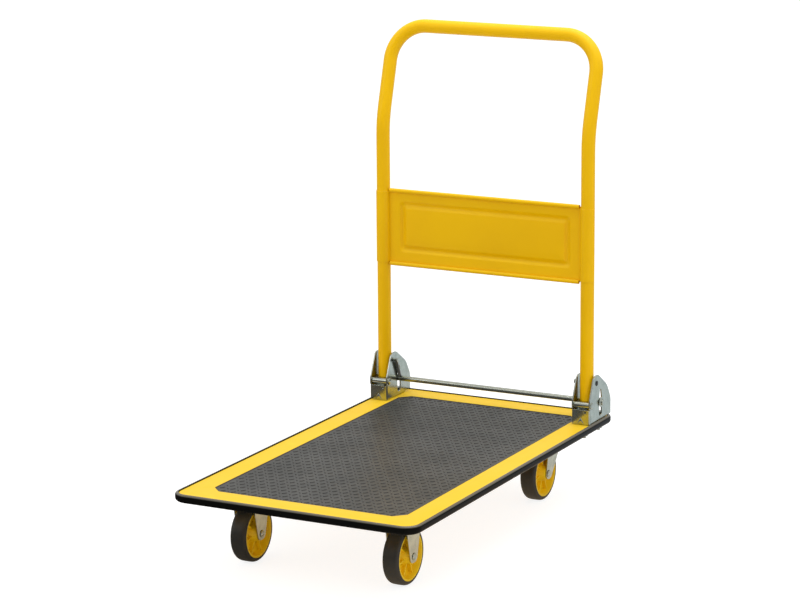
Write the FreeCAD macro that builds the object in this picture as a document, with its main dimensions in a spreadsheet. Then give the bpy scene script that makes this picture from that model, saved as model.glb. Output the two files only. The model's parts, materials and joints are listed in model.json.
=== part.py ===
"""Folding platform cart: a pressed steel deck on two fixed and two swivel casters, with a push
handle that folds forward over the deck once the sprung foot bar behind its feet is pressed.

X runs across the cart, Y along it towards the handle, Z up. The origin is on the floor under the
middle of the deck. Lengths are millimetres and angles degrees.
"""
import FreeCAD, Part
import math
import operator
import os

import Sketcher
from FreeCAD import Placement, Rotation, Vector

SIZES = {
    # deck: a pressed sheet with a recess for the mat and a skirt for the bumper
    "deck_width": 470.0,
    "deck_length": 828.0,
    "deck_height": 142.0,
    "deck_corner": 30.0,
    "deck_sheet": 1.2,
    "skirt_drop": 12.0,
    "rim_bend": 2.5,
    "bumper_depth": 6.0,
    "bumper_rise": 1.6,
    "bumper_tall": 15.4,
    "bumper_top_flat": 0.8,
    "bumper_foot_flat": 0.1,
    "bumper_lip": 2.0,
    "lip_tall": 6.0,
    "mat_side_inset": 49.0,
    "mat_end_inset": 53.5,
    "mat_chamfer": 19.0,
    "mat_thickness": 1.9,
    "mat_gap": 0.4,
    "recess_depth": 2.0,
    # rails under the deck that carry the casters
    "rail_depth": 13.8,
    "rail_sheet": 2.0,
    "rail_width": 100.0,
    "rail_flange": 12.0,
    "rail_end_gap": 3.0,
    "stiffener_width": 44.0,
    "stiffener_inset": 140.0,
    "stiffener_gap": 1.0,
    "doubler_width": 24.0,
    "doubler_shift": 2.0,
    "doubler_end": 7.0,
    "doubler_depth": 16.8,
    # handle: one bent tube and a pressed panel
    "tube_radius": 12.7,
    "tube_wall": 1.5,
    "handle_top": 865.0,
    "bend_height": 677.0,
    "handle_setback": 51.0,
    "bend_radius": 200.0,
    "grip_corner": 67.0,
    "panel_foot": 402.0,
    "panel_tall": 148.0,
    "panel_sheet": 1.2,
    "hem_radius": 3.75,
    "hem_end_gap": 2.5,
    "flange_inset": 6.0,
    "groove_inset": 20.0,
    "groove_width": 10.5,
    "groove_depth": 2.5,
    "plug_depth": 12.0,
    "plug_lip": 2.0,
    # brackets that hold the handle's feet
    "bracket_edge_gap": 0.2,
    "bracket_end_gap": 5.08,
    "bracket_sheet": 2.5,
    "bracket_gap": 3.1,
    "bracket_length": 96.0,
    "bracket_tall": 89.0,
    "chin_height": 43.0,
    "chin_round": 26.0,
    "shoulder_back": 20.0,
    "shoulder_round": 11.5,
    "crown_back": 39.0,
    "crown_round": 14.0,
    "hip_back": 79.0,
    "hip_height": 62.0,
    "hip_round": 44.0,
    "heel_height": 34.0,
    "heel_round": 22.0,
    "web_tall": 28.5,
    "notch_gap": 1.0,
    "notch_lift": 1.6,
    "pin_radius": 4.0,
    "pin_setback": 8.3,
    "pin_height": 36.0,
    "pin_head": 6.5,
    "pin_head_tall": 2.2,
    "sleeve_wall": 2.0,
    "running_gap": 0.08,
    "side_gap": 0.3,
    "saddle_width": 13.7,
    "heel_below_pin": 15.5,
    "bolt_front": 15.0,
    "bolt_pitch": 67.0,
    "anchor_back": 31.0,
    "anchor_height": 74.0,
    "anchor_radius": 2.5,
    "anchor_head": 4.2,
    "anchor_head_tall": 1.1,
    "slot_back": 49.5,
    "slot_half_width": 6.5,
    "slot_corner": 6.2,
    "slot_floor": 8.0,
    "window_foot": 42.5,
    "window_tall": 16.0,
    "window_half_foot": 5.0,
    "window_half_head": 2.2,
    "window_corner": 2.0,
    "web_hole": 2.0,
    "web_hole_across": 8.4,
    "web_hole_height": 24.5,
    # foot bar and its springs
    "bar_radius": 5.0,
    "bar_height": 34.0,
    "bar_end": 6.0,
    "washer_radius": 9.0,
    "washer_thickness": 1.6,
    "collar_wall": 1.25,
    "collar_tall": 3.2,
    "spring_radius": 2.7,
    "spring_wire": 0.55,
    "spring_pitch": 1.7,
    "eye_gap": 0.16,
    # casters
    "wheel_headroom": 23.0,
    "tyre_width": 31.0,
    "tyre_thickness": 7.5,
    "hub_length": 36.0,
    "hub_boss": 12.0,
    "hub_shoulder": 6.0,
    "hub_web": 5.0,
    "hub_rim_wall": 5.0,
    "hub_rim_inset": 0.6,
    "hub_rib_inset": 5.0,
    "tyre_bead": 0.5,
    "rib_thickness": 3.0,
    "fork_sheet": 2.5,
    "fork_gap": 37.0,
    "axle_radius": 4.0,
    "axle_sleeve": 6.0,
    "axle_head": 6.6,
    "axle_head_tall": 2.0,
    "fork_toe": 11.0,
    "toe_flat": 0.6,
    "fork_waist": 22.0,
    "waist_height": 35.7,
    "fork_hip": 26.4,
    "plate_thickness": 3.0,
    "plate_length": 104.0,
    "plate_width": 82.0,
    "plate_corner": 8.0,
    "plate_bolt_long": 80.0,
    "plate_bolt_wide": 60.0,
    "front_caster_inset": 87.0,
    "front_caster_end_inset": 129.0,
    "rear_caster_inset": 95.0,
    "rear_caster_end_inset": 107.0,
    "caster_trail": 32.0,
    "kingpin_radius": 6.0,
    "kingpin_head": 9.6,
    "crown_radius": 30.0,
    "cheek_front": 28.5,
    "cheek_back": 25.5,
    "cheek_drop": 12.0,
    "cheek_chin": 32.9,
    "chin_drop": 24.0,
    "race_radius": 20.0,
    "race_width": 12.0,
    "ball_radius": 3.0,
    "ball_gap": 0.1,
    # fasteners
    "bolt_radius": 4.0,
    "bolt_hole_gap": 0.25,
    "hex_radius": 7.5,
    "hex_tall": 5.3,
    "nut_tall": 6.6,
    "bolt_tail": 4.0,
}
RIBS = 7
BALLS = 14
SIDES = {"left": -1, "right": 1}

doc = FreeCAD.newDocument("FoldingPlatformCart")
sheet = doc.addObject("Spreadsheet::Sheet", "Sizes")
for row, (alias, number) in enumerate(SIZES.items(), start=1):
    sheet.set(f"A{row}", alias)
    sheet.set(f"B{row}", str(number))
    sheet.setAlias(f"B{row}", alias)
doc.recompute()


class Size:
    """A size: its value now, and the expression over the sheet that gives it."""

    def __init__(self, value, text):
        self.value = float(value)
        self.text = text

    def __float__(self):
        return self.value

    def __add__(self, other):
        return joined(self, "+", other, operator.add)

    def __radd__(self, other):
        return joined(other, "+", self, operator.add)

    def __sub__(self, other):
        return joined(self, "-", other, operator.sub)

    def __rsub__(self, other):
        return joined(other, "-", self, operator.sub)

    def __mul__(self, other):
        return joined(self, "*", other, operator.mul)

    def __rmul__(self, other):
        return joined(other, "*", self, operator.mul)

    def __truediv__(self, other):
        return joined(self, "/", other, operator.truediv)

    def __neg__(self):
        return joined(0, "-", self, operator.sub)


def sized(thing):
    """A plain number as a Size; a Size as it is."""
    return thing if isinstance(thing, Size) else Size(thing, f"{float(thing):g}")


def joined(left, sign, right, work):
    """The Size that two others make with one arithmetic step."""
    left, right = sized(left), sized(right)
    return Size(work(left.value, right.value), f"({left.text} {sign} {right.text})")


def root(size):
    """The square root of a Size."""
    return Size(math.sqrt(size.value), f"sqrt({size.text})")


class Sheet:
    """Every driving dimension as a Size, by its name in the spreadsheet."""

    def __init__(self, names):
        for name in names:
            setattr(self, name, Size(sheet.get(name), f"Sizes.{name}"))


d = Sheet(SIZES)
nodes = []


# ---------------------------------------------------------------- document helpers

def bind(obj, name, size):
    """Tie one property to the sheet, or set it if it is a plain number."""
    if isinstance(size, Size):
        obj.setExpression(name, size.text)
    else:
        setattr(obj, name, float(size))


def place(obj, at, turn=None):
    """Put an object at a point whose coordinates follow the sheet."""
    obj.Placement = Placement(Vector(*[float(size) for size in at]), turn or Rotation())
    for axis, size in zip("xyz", at):
        if isinstance(size, Size):
            obj.setExpression(f"Placement.Base.{axis}", size.text)
    return obj


def keep(obj, label):
    """Name a finished sub-part and list it for writing."""
    obj.Label = label
    nodes.append(obj)
    return obj


def primitive(kind, name, at, turn=None, **sizes):
    """A Part primitive with its sizes bound to the sheet."""
    obj = doc.addObject(f"Part::{kind}", name)
    for key, size in sizes.items():
        bind(obj, key, size)
    return place(obj, at, turn)


ALONG_X = Rotation(Vector(0, 1, 0), 90)


def cylinder(name, at, radius, length, turn=None):
    return primitive("Cylinder", name, at, turn, Radius=radius, Height=length)


def block(name, at, across, along, tall):
    """A box from its lowest corner."""
    return primitive("Box", name, at, Length=across, Width=along, Height=tall)


def fused(name, *parts):
    obj = doc.addObject("Part::MultiFuse", name)
    obj.Shapes = list(parts)
    return obj


def cut(name, base, *tools):
    obj = doc.addObject("Part::Cut", name)
    obj.Base = base
    obj.Tool = tools[0] if len(tools) == 1 else fused(name + "_tools", *tools)
    return obj


def group(name, parts):
    """Identical fasteners as separate solids of one node."""
    obj = doc.addObject("Part::Compound", name)
    obj.Links = list(parts)
    return obj


# ---------------------------------------------------------------- body helpers

def new_body(label):
    body = doc.addObject("PartDesign::Body", label)
    return keep(body, label)


def sketch_on(body, role, offset=None):
    """An empty sketch on one of the body's own origin planes, or at an offset along its normal."""
    sketch = body.newObject("Sketcher::SketchObject", body.Name + "_sketch")
    plane = next(item for item in body.Origin.OriginFeatures if item.Role == role)
    sketch.AttachmentSupport = (plane, "")
    sketch.MapMode = "FlatFace"
    if offset is not None:
        sketch.AttachmentOffset = Placement(Vector(0, 0, float(offset)), Rotation())
        sketch.setExpression("AttachmentOffset.Base.z", sized(offset).text)
    return sketch


def hold(sketch, kind, size, *where):
    """One distance or radius of a sketch, bound to the sheet."""
    number = sketch.addConstraint(Sketcher.Constraint(kind, *where, float(size)))
    if isinstance(size, Size):
        sketch.setExpression(f"Constraints[{number}]", size.text)


def hold_point(sketch, edge, end, u, v):
    """Hold a point by its two distances from the sketch's origin."""
    for kind, axis, size in (("DistanceX", -2, u), ("DistanceY", -1, v)):
        if abs(float(size)) < 1e-9:
            sketch.addConstraint(Sketcher.Constraint("PointOnObject", edge, end, axis))
        else:
            hold(sketch, kind, size, -1, 1, edge, end)


def polygon(sketch, corners):
    """A closed outline through the corners."""
    first = sketch.GeometryCount
    count = len(corners)
    points = [Vector(float(u), float(v), 0) for u, v in corners]
    for here, there in zip(points, points[1:] + points[:1]):
        sketch.addGeometry(Part.LineSegment(here, there))
    for k in range(count):
        after = first + (k + 1) % count
        sketch.addConstraint(Sketcher.Constraint("Coincident", first + k, 2, after, 1))
    for k, (u, v) in enumerate(corners):
        hold_point(sketch, first + k, 1, u, v)
    return sketch


def rectangle(sketch, left, right, low, high):
    return polygon(sketch, [(left, low), (right, low), (right, high), (left, high)])


def circle(sketch, u, v, radius):
    centre = Vector(float(u), float(v), 0)
    edge = sketch.addGeometry(Part.Circle(centre, Vector(0, 0, 1), float(radius)))
    hold(sketch, "Radius", radius, edge)
    hold_point(sketch, edge, 3, u, v)
    return sketch


def rounded_rectangle(sketch, half_u, half_v, radius):
    """A rectangle about the origin with four equal round corners, tangent to its sides."""
    hu, hv, r = float(half_u), float(half_v), float(radius)
    first = sketch.GeometryCount
    signs = [(1, -1, -90), (1, 1, 0), (-1, 1, 90), (-1, -1, 180)]
    arcs = []
    for su, sv, start in signs:
        ring = Part.Circle(Vector(su * (hu - r), sv * (hv - r), 0), Vector(0, 0, 1), r)
        angles = math.radians(start), math.radians(start + 90)
        arcs.append(sketch.addGeometry(Part.ArcOfCircle(ring, *angles)))
    for k in range(4):
        this, after = arcs[k], arcs[(k + 1) % 4]
        start = sketch.getPoint(this, 2)
        line = sketch.addGeometry(Part.LineSegment(start, sketch.getPoint(after, 1)))
        sketch.addConstraint(Sketcher.Constraint("Tangent", this, 2, line, 1))
        sketch.addConstraint(Sketcher.Constraint("Tangent", line, 2, after, 1))
        upright = "Vertical" if k % 2 == 0 else "Horizontal"
        sketch.addConstraint(Sketcher.Constraint(upright, line))
    for arc in arcs[1:]:
        sketch.addConstraint(Sketcher.Constraint("Equal", first, arc))
    sketch.addConstraint(Sketcher.Constraint("Symmetric", arcs[0], 3, arcs[2], 3, -1, 1))
    hold(sketch, "Radius", radius, first)
    hold(sketch, "DistanceX", half_u * 2 - radius * 2, arcs[3], 3, arcs[0], 3)
    hold(sketch, "DistanceY", half_v * 2 - radius * 2, arcs[0], 3, arcs[1], 3)
    return sketch


def feature(body, kind, sketch, length, middle=False, reverse=False):
    obj = body.newObject(f"PartDesign::{kind}", f"{body.Name}_{kind.lower()}")
    obj.Profile = sketch
    bind(obj, "Length", length)
    obj.SideType = "Symmetric" if middle else "One side"
    obj.Reversed = reverse
    sketch.Visibility = False
    return obj


def pad(body, sketch, length, **ways):
    obj = feature(body, "Pad", sketch, length, **ways)
    doc.recompute()
    return obj


def pocket(body, sketch, length, **ways):
    """Cut a sketch out of the body, and make sure that something was cut."""
    doc.recompute()
    before = body.Tip.Shape.Volume
    obj = feature(body, "Pocket", sketch, length, **ways)
    doc.recompute()
    if not obj.Shape.Volume < before - 1e-6:
        raise RuntimeError(f"{body.Label}: a pocket cuts nothing")
    return obj


def round_off(body, radius, wanted):
    """Round the edges of the body that the test picks."""
    base = body.Tip
    names = [f"Edge{k}" for k, edge in enumerate(base.Shape.Edges, start=1) if wanted(edge)]
    if not names:
        raise RuntimeError(f"{body.Label}: no edge to round")
    obj = body.newObject("PartDesign::Fillet", body.Name + "_fillet")
    obj.Base = (base, names)
    bind(obj, "Radius", radius)
    doc.recompute()
    return obj


def near(number, size):
    return abs(number - float(size)) < 0.01


def straight_through(edge, axis, *corner):
    """True for an edge along the axis (0, 1 or 2) that passes through the corner."""
    box = edge.BoundBox
    low = (box.XMin, box.YMin, box.ZMin)
    high = (box.XMax, box.YMax, box.ZMax)
    others = [k for k in range(3) if k != axis]
    same = all(near(low[k], v) and near(high[k], v) for k, v in zip(others, corner))
    return same and high[axis] - low[axis] > 0.1


# ---------------------------------------------------------------- shared places

skirt_half_width = d.deck_width / 2 - d.bumper_depth
skirt_half_length = d.deck_length / 2 - d.bumper_depth
skirt_corner = d.deck_corner - d.bumper_depth
mat_half_width = d.deck_width / 2 - d.mat_side_inset
mat_half_length = d.deck_length / 2 - d.mat_end_inset
floor_underside = d.deck_height - d.recess_depth - d.deck_sheet
rim_underside = d.deck_height - d.deck_sheet
caster_height = floor_underside - d.rail_depth
wheel_radius = (caster_height - d.wheel_headroom) / 2
hub_radius = wheel_radius - d.tyre_thickness

front_spread = d.deck_width / 2 - d.front_caster_inset
front_axle = d.deck_length / 2 - d.front_caster_end_inset
kingpin_spread = d.deck_width / 2 - d.rear_caster_inset
kingpin_back = d.deck_length / 2 - d.rear_caster_end_inset
stiffener_spread = d.deck_width / 2 - d.stiffener_inset

bracket_half = d.tube_radius + d.bracket_gap + d.bracket_sheet
bracket_front = skirt_half_length - d.bracket_end_gap - d.bracket_length
sleeve_radius = d.pin_radius + d.running_gap + d.sleeve_wall
pin_back = bracket_front + d.pin_setback
pin_level = d.deck_height + d.pin_height
tube_spread = skirt_half_width - d.bracket_edge_gap - bracket_half
tube_back = pin_back + sleeve_radius + d.tube_radius
bar_back = bracket_front + d.slot_back
bar_level = d.deck_height + d.bar_height
bracket_bolts = [bracket_front + d.bolt_front, bracket_front + d.bolt_front + d.bolt_pitch]

wheel_places = {
    "front_left": (-front_spread, -front_axle),
    "front_right": (front_spread, -front_axle),
    "rear_left": (-kingpin_spread, kingpin_back - d.caster_trail),
    "rear_right": (kingpin_spread, kingpin_back - d.caster_trail),
}
plate_underside = caster_height - d.plate_thickness
plate_middles = [
    (-front_spread, -front_axle),
    (front_spread, -front_axle),
    (-kingpin_spread, kingpin_back),
    (kingpin_spread, kingpin_back),
]


# ---------------------------------------------------------------- deck

def mat_outline(sketch, shrink):
    """The mat's shape: a rectangle with its corners cut off at 45 degrees."""
    half_u = mat_half_width - shrink
    half_v = mat_half_length - shrink
    inner_u = half_u - d.mat_chamfer
    inner_v = half_v - d.mat_chamfer
    return polygon(sketch, [
        (-inner_u, -half_v), (inner_u, -half_v), (half_u, -inner_v), (half_u, inner_v),
        (inner_u, half_v), (-inner_u, half_v), (-half_u, inner_v), (-half_u, -inner_v),
    ])


def make_deck_plate():
    """Pressed sheet: flat rim, sunk floor under the mat and a turned-down skirt."""
    body = new_body("deck_plate")
    place(body, (0, 0, d.deck_height))
    outline = rounded_rectangle(sketch_on(body, "XY_Plane"),
                                skirt_half_width, skirt_half_length, skirt_corner)
    pad(body, outline, d.skirt_drop, reverse=True)
    round_off(body, d.rim_bend, lambda edge: near(edge.BoundBox.ZMin, 0))
    pocket(body, mat_outline(sketch_on(body, "XY_Plane"), 0), d.recess_depth)
    hollow = rounded_rectangle(sketch_on(body, "XY_Plane", -d.recess_depth - d.deck_sheet),
                               skirt_half_width - d.deck_sheet,
                               skirt_half_length - d.deck_sheet,
                               skirt_corner - d.deck_sheet)
    pocket(body, hollow, d.skirt_drop)
    ring = rounded_rectangle(sketch_on(body, "XY_Plane", -d.deck_sheet),
                             skirt_half_width - d.deck_sheet,
                             skirt_half_length - d.deck_sheet,
                             skirt_corner - d.deck_sheet)
    mat_outline(ring, -d.deck_sheet)
    pocket(body, ring, d.recess_depth)
    holes = sketch_on(body, "XY_Plane")
    for side in SIDES.values():
        for back in bracket_bolts:
            circle(holes, tube_spread * side, back, d.bolt_radius + d.bolt_hole_gap)
    pocket(body, holes, d.skirt_drop)


def make_deck_mat():
    body = new_body("deck_mat")
    place(body, (0, 0, d.deck_height - d.recess_depth))
    pad(body, mat_outline(sketch_on(body, "XY_Plane"), d.mat_gap), d.mat_thickness)


def ring_sketch(body, outer, inner):
    """The band between two round-cornered rectangles, each given by its distance from the edge."""
    sketch = sketch_on(body, "XY_Plane")
    for inset in (outer, inner):
        rounded_rectangle(sketch, d.deck_width / 2 - inset, d.deck_length / 2 - inset,
                          d.deck_corner - inset)
    return sketch


def make_edge_bumper():
    """Soft edging: a round-nosed band outside the skirt, a floor under it and a lip inside."""
    body = new_body("edge_bumper")
    place(body, (0, 0, d.deck_height + d.bumper_rise - d.bumper_tall))
    floor = d.bumper_tall - d.bumper_rise - d.skirt_drop
    inside = d.bumper_depth + d.deck_sheet
    pad(body, ring_sketch(body, sized(0), d.bumper_depth), d.bumper_tall)
    round_off(body, d.bumper_depth - d.bumper_top_flat,
              lambda edge: near(edge.BoundBox.ZMin, d.bumper_tall) and on_rim(edge))
    round_off(body, d.bumper_depth - d.bumper_foot_flat,
              lambda edge: near(edge.BoundBox.ZMax, 0) and on_rim(edge))
    pad(body, ring_sketch(body, d.bumper_depth, inside + d.bumper_lip), floor)
    pad(body, ring_sketch(body, inside, inside + d.bumper_lip), floor + d.lip_tall)


def on_rim(edge):
    """True for an edge of the deck's outermost outline."""
    box = edge.BoundBox
    reach_x = max(abs(box.XMin), abs(box.XMax))
    reach_y = max(abs(box.YMin), abs(box.YMax))
    return near(reach_x, d.deck_width / 2) or near(reach_y, d.deck_length / 2)


def hat_profile(width, depth, flange):
    """A hat section hanging below its flanges' top face."""
    thick = d.rail_sheet
    half = width / 2
    brim = half + flange
    corners = [(brim, -thick), (brim, sized(0)), (half - thick, sized(0)),
               (half - thick, thick - depth)]
    left = [(-u, v) for u, v in reversed(corners)]
    return corners + left + [(-half, -thick), (-half, -depth), (half, -depth), (half, -thick)]


def make_hat(label, role, middle, width, length, depth, flange):
    body = new_body(label)
    place(body, middle)
    pad(body, polygon(sketch_on(body, role), hat_profile(width, depth, flange)), length, middle=True)
    return body


def drill_plate_holes(body, places):
    """Bolt holes for caster plates, given by their middles in the body's own frame."""
    sketch = sketch_on(body, "XY_Plane")
    for middle_x, middle_y in places:
        for across in (-1, 1):
            for along in (-1, 1):
                circle(sketch, middle_x + d.plate_bolt_wide / 2 * across,
                       middle_y + d.plate_bolt_long / 2 * along, d.bolt_radius + d.bolt_hole_gap)
    pocket(body, sketch, d.rail_depth * 4, middle=True)


def make_rails():
    """Two cross rails that take the casters, and two lengthwise stiffeners between them."""
    rail_length = (mat_half_width - d.rail_end_gap) * 2
    for label, back, spread in (("front_cross_rail", -front_axle, front_spread),
                                ("rear_cross_rail", kingpin_back, kingpin_spread)):
        rail = make_hat(label, "YZ_Plane", (0, back, floor_underside), d.rail_width, rail_length,
                        d.rail_depth, d.rail_flange)
        drill_plate_holes(rail, [(-spread, sized(0)), (spread, sized(0))])
    reach = d.rail_width / 2 + d.rail_flange + d.stiffener_gap
    length = front_axle + kingpin_back - reach * 2
    middle = (kingpin_back - front_axle) / 2
    for side_name, side in SIDES.items():
        make_hat(f"{side_name}_deck_stiffener", "XZ_Plane",
                 (stiffener_spread * side, middle, floor_underside),
                 d.stiffener_width, length, d.rail_depth - d.stiffener_gap, d.rail_flange)


def make_bracket_doublers():
    """Channels under the deck's rim that spread the load of the handle brackets."""
    for side_name, side in SIDES.items():
        body = new_body(f"{side_name}_bracket_doubler")
        shift = d.doubler_shift * side
        place(body, (tube_spread * side - shift, bracket_front, rim_underside))
        half = d.doubler_width / 2
        thick = d.rail_sheet
        low = -d.doubler_depth
        profile = polygon(sketch_on(body, "XZ_Plane"), [
            (-half, low), (half, low), (half, sized(0)), (half - thick, sized(0)),
            (half - thick, low + thick), (thick - half, low + thick), (thick - half, sized(0)),
            (-half, sized(0)),
        ])
        pad(body, profile, d.bolt_front + d.bolt_pitch + d.doubler_end, reverse=True)
        holes = sketch_on(body, "XY_Plane", low + thick)
        for back in (d.bolt_front, d.bolt_front + d.bolt_pitch):
            circle(holes, shift, back, d.bolt_radius + d.bolt_hole_gap)
        pocket(body, holes, thick)


# ---------------------------------------------------------------- handle brackets

def make_bracket(side_name, side):
    """A U of sheet: base on the deck, low web in front and a tall plate each side of the tube.

    Its two rear corners are notched to clear the edging where it rounds the deck's corner.
    """
    body = new_body(f"{side_name}_handle_bracket")
    place(body, (tube_spread * side, bracket_front, d.deck_height))
    long, tall, thick = d.bracket_length, d.bracket_tall, d.bracket_sheet
    shoulder = (d.shoulder_back, tall)
    crown = (d.crown_back, tall)
    hip = (d.hip_back, d.hip_height)
    heel = (long, d.heel_height)
    chin = (sized(0), d.chin_height)
    profile = polygon(sketch_on(body, "YZ_Plane"),
                      [(sized(0), sized(0)), (long, sized(0)), heel, hip, crown, shoulder, chin])
    pad(body, profile, bracket_half * 2, middle=True)
    for corner, radius in ((shoulder, d.shoulder_round), (crown, d.crown_round),
                           (hip, d.hip_round), (heel, d.heel_round), (chin, d.chin_round)):
        round_off(body, radius, lambda edge: straight_through(edge, 0, *corner))
    inner = bracket_half - thick
    hollow = rectangle(sketch_on(body, "XY_Plane", thick), -inner, inner, thick, long * 2)
    pocket(body, hollow, tall * 2, reverse=True)
    mouth = rectangle(sketch_on(body, "XY_Plane", d.web_tall), -inner, inner, -thick, thick * 2)
    pocket(body, mouth, tall * 2, reverse=True)
    corner_inset = skirt_corner - d.bracket_end_gap
    corner_half = root(skirt_corner * skirt_corner - corner_inset * corner_inset)
    notch_from = bracket_half + d.bracket_edge_gap - skirt_corner + corner_half - d.notch_gap
    notch_tall = d.bumper_rise + d.notch_lift
    notches = sketch_on(body, "XY_Plane", notch_tall)
    for end in SIDES.values():
        rectangle(notches, notch_from * end, bracket_half * 2 * end,
                  long - corner_inset - d.notch_gap, long * 2)
    pocket(body, notches, notch_tall)
    for outline, radius in ((slot_outline(), d.slot_corner), (window_outline(), d.window_corner)):
        pocket(body, polygon(sketch_on(body, "YZ_Plane"), outline), bracket_half * 4, middle=True)
        round_off(body, radius, lambda edge: any(straight_through(edge, 0, *c) for c in outline))
    holes = sketch_on(body, "YZ_Plane")
    circle(holes, d.pin_setback, d.pin_height, d.pin_radius)
    circle(holes, d.anchor_back, d.anchor_height, d.anchor_radius)
    pocket(body, holes, bracket_half * 4, middle=True)
    bolts = sketch_on(body, "XY_Plane", thick)
    for back in (d.bolt_front, d.bolt_front + d.bolt_pitch):
        circle(bolts, 0, back, d.bolt_radius + d.bolt_hole_gap)
    pocket(body, bolts, thick)
    web_hole = circle(sketch_on(body, "XZ_Plane"), d.web_hole_across, d.web_hole_height, d.web_hole)
    pocket(body, web_hole, thick * 2, middle=True)


def slot_outline():
    """The upright slot that the foot bar slides in; at rest the bar is against its top end."""
    half = d.slot_half_width
    top = d.bar_height + d.bar_radius + d.side_gap
    return [(d.slot_back + u, v) for u, v in
            [(half, d.slot_floor), (half, top), (-half, top), (-half, d.slot_floor)]]


def window_outline():
    """The small tapered window above the slot."""
    foot, head = d.window_half_foot, d.window_half_head
    low, high = d.window_foot, d.window_foot + d.window_tall
    return [(d.slot_back + u, v) for u, v in
            [(foot, low), (head, high), (-head, high), (-foot, low)]]


def make_pivot_pin(side_name, side):
    """Rivet that the handle's foot turns on, headed outside both plates."""
    start = tube_spread * side - bracket_half
    length = bracket_half * 2
    shank = cylinder(f"{side_name}_pin_shank", (start, pin_back, pin_level), d.pin_radius, length,
                     ALONG_X)
    low = cylinder(f"{side_name}_pin_head_a", (start - d.pin_head_tall, pin_back, pin_level),
                   d.pin_head, d.pin_head_tall, ALONG_X)
    high = cylinder(f"{side_name}_pin_head_b", (start + length, pin_back, pin_level), d.pin_head,
                    d.pin_head_tall, ALONG_X)
    keep(fused(f"{side_name}_pin", shank, low, high), f"{side_name}_pivot_pin")


def anchor_start(side):
    """Where the spring anchor leaves the inner plate's face, on the cart's centreline side."""
    return tube_spread * side - bracket_half * side


def make_spring_anchors():
    """Rivets in the inner plates, headed beyond the spring's eye."""
    parts = []
    reach = (d.spring_radius + d.spring_wire + d.side_gap) * 2
    for side_name, side in SIDES.items():
        inside = anchor_start(side) + d.bracket_sheet * side
        turn = Rotation(Vector(0, 1, 0), -90 * side)
        back = bracket_front + d.anchor_back
        level = d.deck_height + d.anchor_height
        shank = cylinder(f"{side_name}_anchor_shank", (inside, back, level), d.anchor_radius,
                         d.bracket_sheet + reach, turn)
        cap_at = (anchor_start(side) - reach * side, back, level)
        cap = cylinder(f"{side_name}_anchor_cap", cap_at, d.anchor_head, d.anchor_head_tall, turn)
        parts.append(fused(f"{side_name}_anchor", shank, cap))
    keep(group("anchors", parts), "spring_anchors")


def make_spring(side_name, side):
    """Tension spring from its anchor down to the foot bar, with an eye at each end."""
    across = anchor_start(side) - (d.spring_radius + d.spring_wire + d.side_gap) * side
    top = Vector(float(across), float(bracket_front + d.anchor_back),
                 float(d.deck_height + d.anchor_height))
    foot = Vector(float(across), float(bar_back), float(bar_level))
    run = foot - top
    unit = Vector(run).normalize()
    turn = Rotation(Vector(0, 0, 1), unit)
    top_eye = d.anchor_radius + d.spring_wire + d.eye_gap
    foot_eye = d.bar_radius + d.spring_wire + d.eye_gap
    free = run.Length - float(top_eye + foot_eye + d.spring_wire * 2)
    turns = math.floor(free / float(d.spring_pitch))
    start = top + unit * float(top_eye + d.spring_wire)
    end = start + unit * float(d.spring_pitch * turns)
    helix = doc.addObject("Part::Helix", f"{side_name}_spring_path")
    bind(helix, "Pitch", d.spring_pitch)
    bind(helix, "Radius", d.spring_radius)
    bind(helix, "Height", d.spring_pitch * turns)
    section = primitive("Circle", f"{side_name}_spring_section", (d.spring_radius, 0, 0),
                        Rotation(Vector(1, 0, 0), 90), Radius=d.spring_wire)
    coil = doc.addObject("Part::Sweep", f"{side_name}_spring_coil")
    coil.Sections = [section]
    coil.Spine = (helix, ["Edge1"])
    coil.Solid = True
    coil.Frenet = True
    coil.Placement = Placement(start, turn)
    radial = turn.multVec(Vector(1, 0, 0))
    parts = [coil]
    for name, centre, radius in (("top", top, top_eye), ("foot", foot, foot_eye)):
        eye = doc.addObject("Part::Torus", f"{side_name}_spring_{name}_eye")
        bind(eye, "Radius1", radius)
        bind(eye, "Radius2", d.spring_wire)
        eye.Placement = Placement(centre, ALONG_X)
        parts.append(eye)
    stem = (foot - end).Length - float(foot_eye)
    for name, at, along, length in (("top_arm", start, radial, float(d.spring_radius)),
                                    ("foot_arm", end, radial, float(d.spring_radius)),
                                    ("foot_stem", end, unit, stem)):
        arm = doc.addObject("Part::Cylinder", f"{side_name}_spring_{name}")
        bind(arm, "Radius", d.spring_wire)
        arm.Height = length
        arm.Placement = Placement(at, Rotation(Vector(0, 0, 1), along))
        parts.append(arm)
    keep(fused(f"{side_name}_spring", *parts), f"{side_name}_release_spring")


# ---------------------------------------------------------------- foot bar

def make_release_bar():
    reach = tube_spread + bracket_half + d.bar_end
    bar = cylinder("bar", (-reach, bar_back, bar_level), d.bar_radius, reach * 2, ALONG_X)
    keep(bar, "release_bar")
    washers = []
    for side_name, side in SIDES.items():
        outside = tube_spread * side + bracket_half * side + d.side_gap * side
        turn = Rotation(Vector(0, 1, 0), 90 * side)
        disc = cylinder(f"{side_name}_washer_disc", (outside, bar_back, bar_level),
                        d.washer_radius, d.washer_thickness, turn)
        collar = cylinder(f"{side_name}_washer_collar", (outside, bar_back, bar_level),
                          d.bar_radius + d.collar_wall, d.collar_tall, turn)
        bore = cylinder(f"{side_name}_washer_bore", (outside, bar_back, bar_level), d.bar_radius,
                        d.collar_tall, turn)
        washers.append(cut(f"{side_name}_washer", fused(f"{side_name}_washer_blank", disc, collar),
                           bore))
    keep(group("washers", washers), "release_bar_washers")


# ---------------------------------------------------------------- handle

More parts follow.
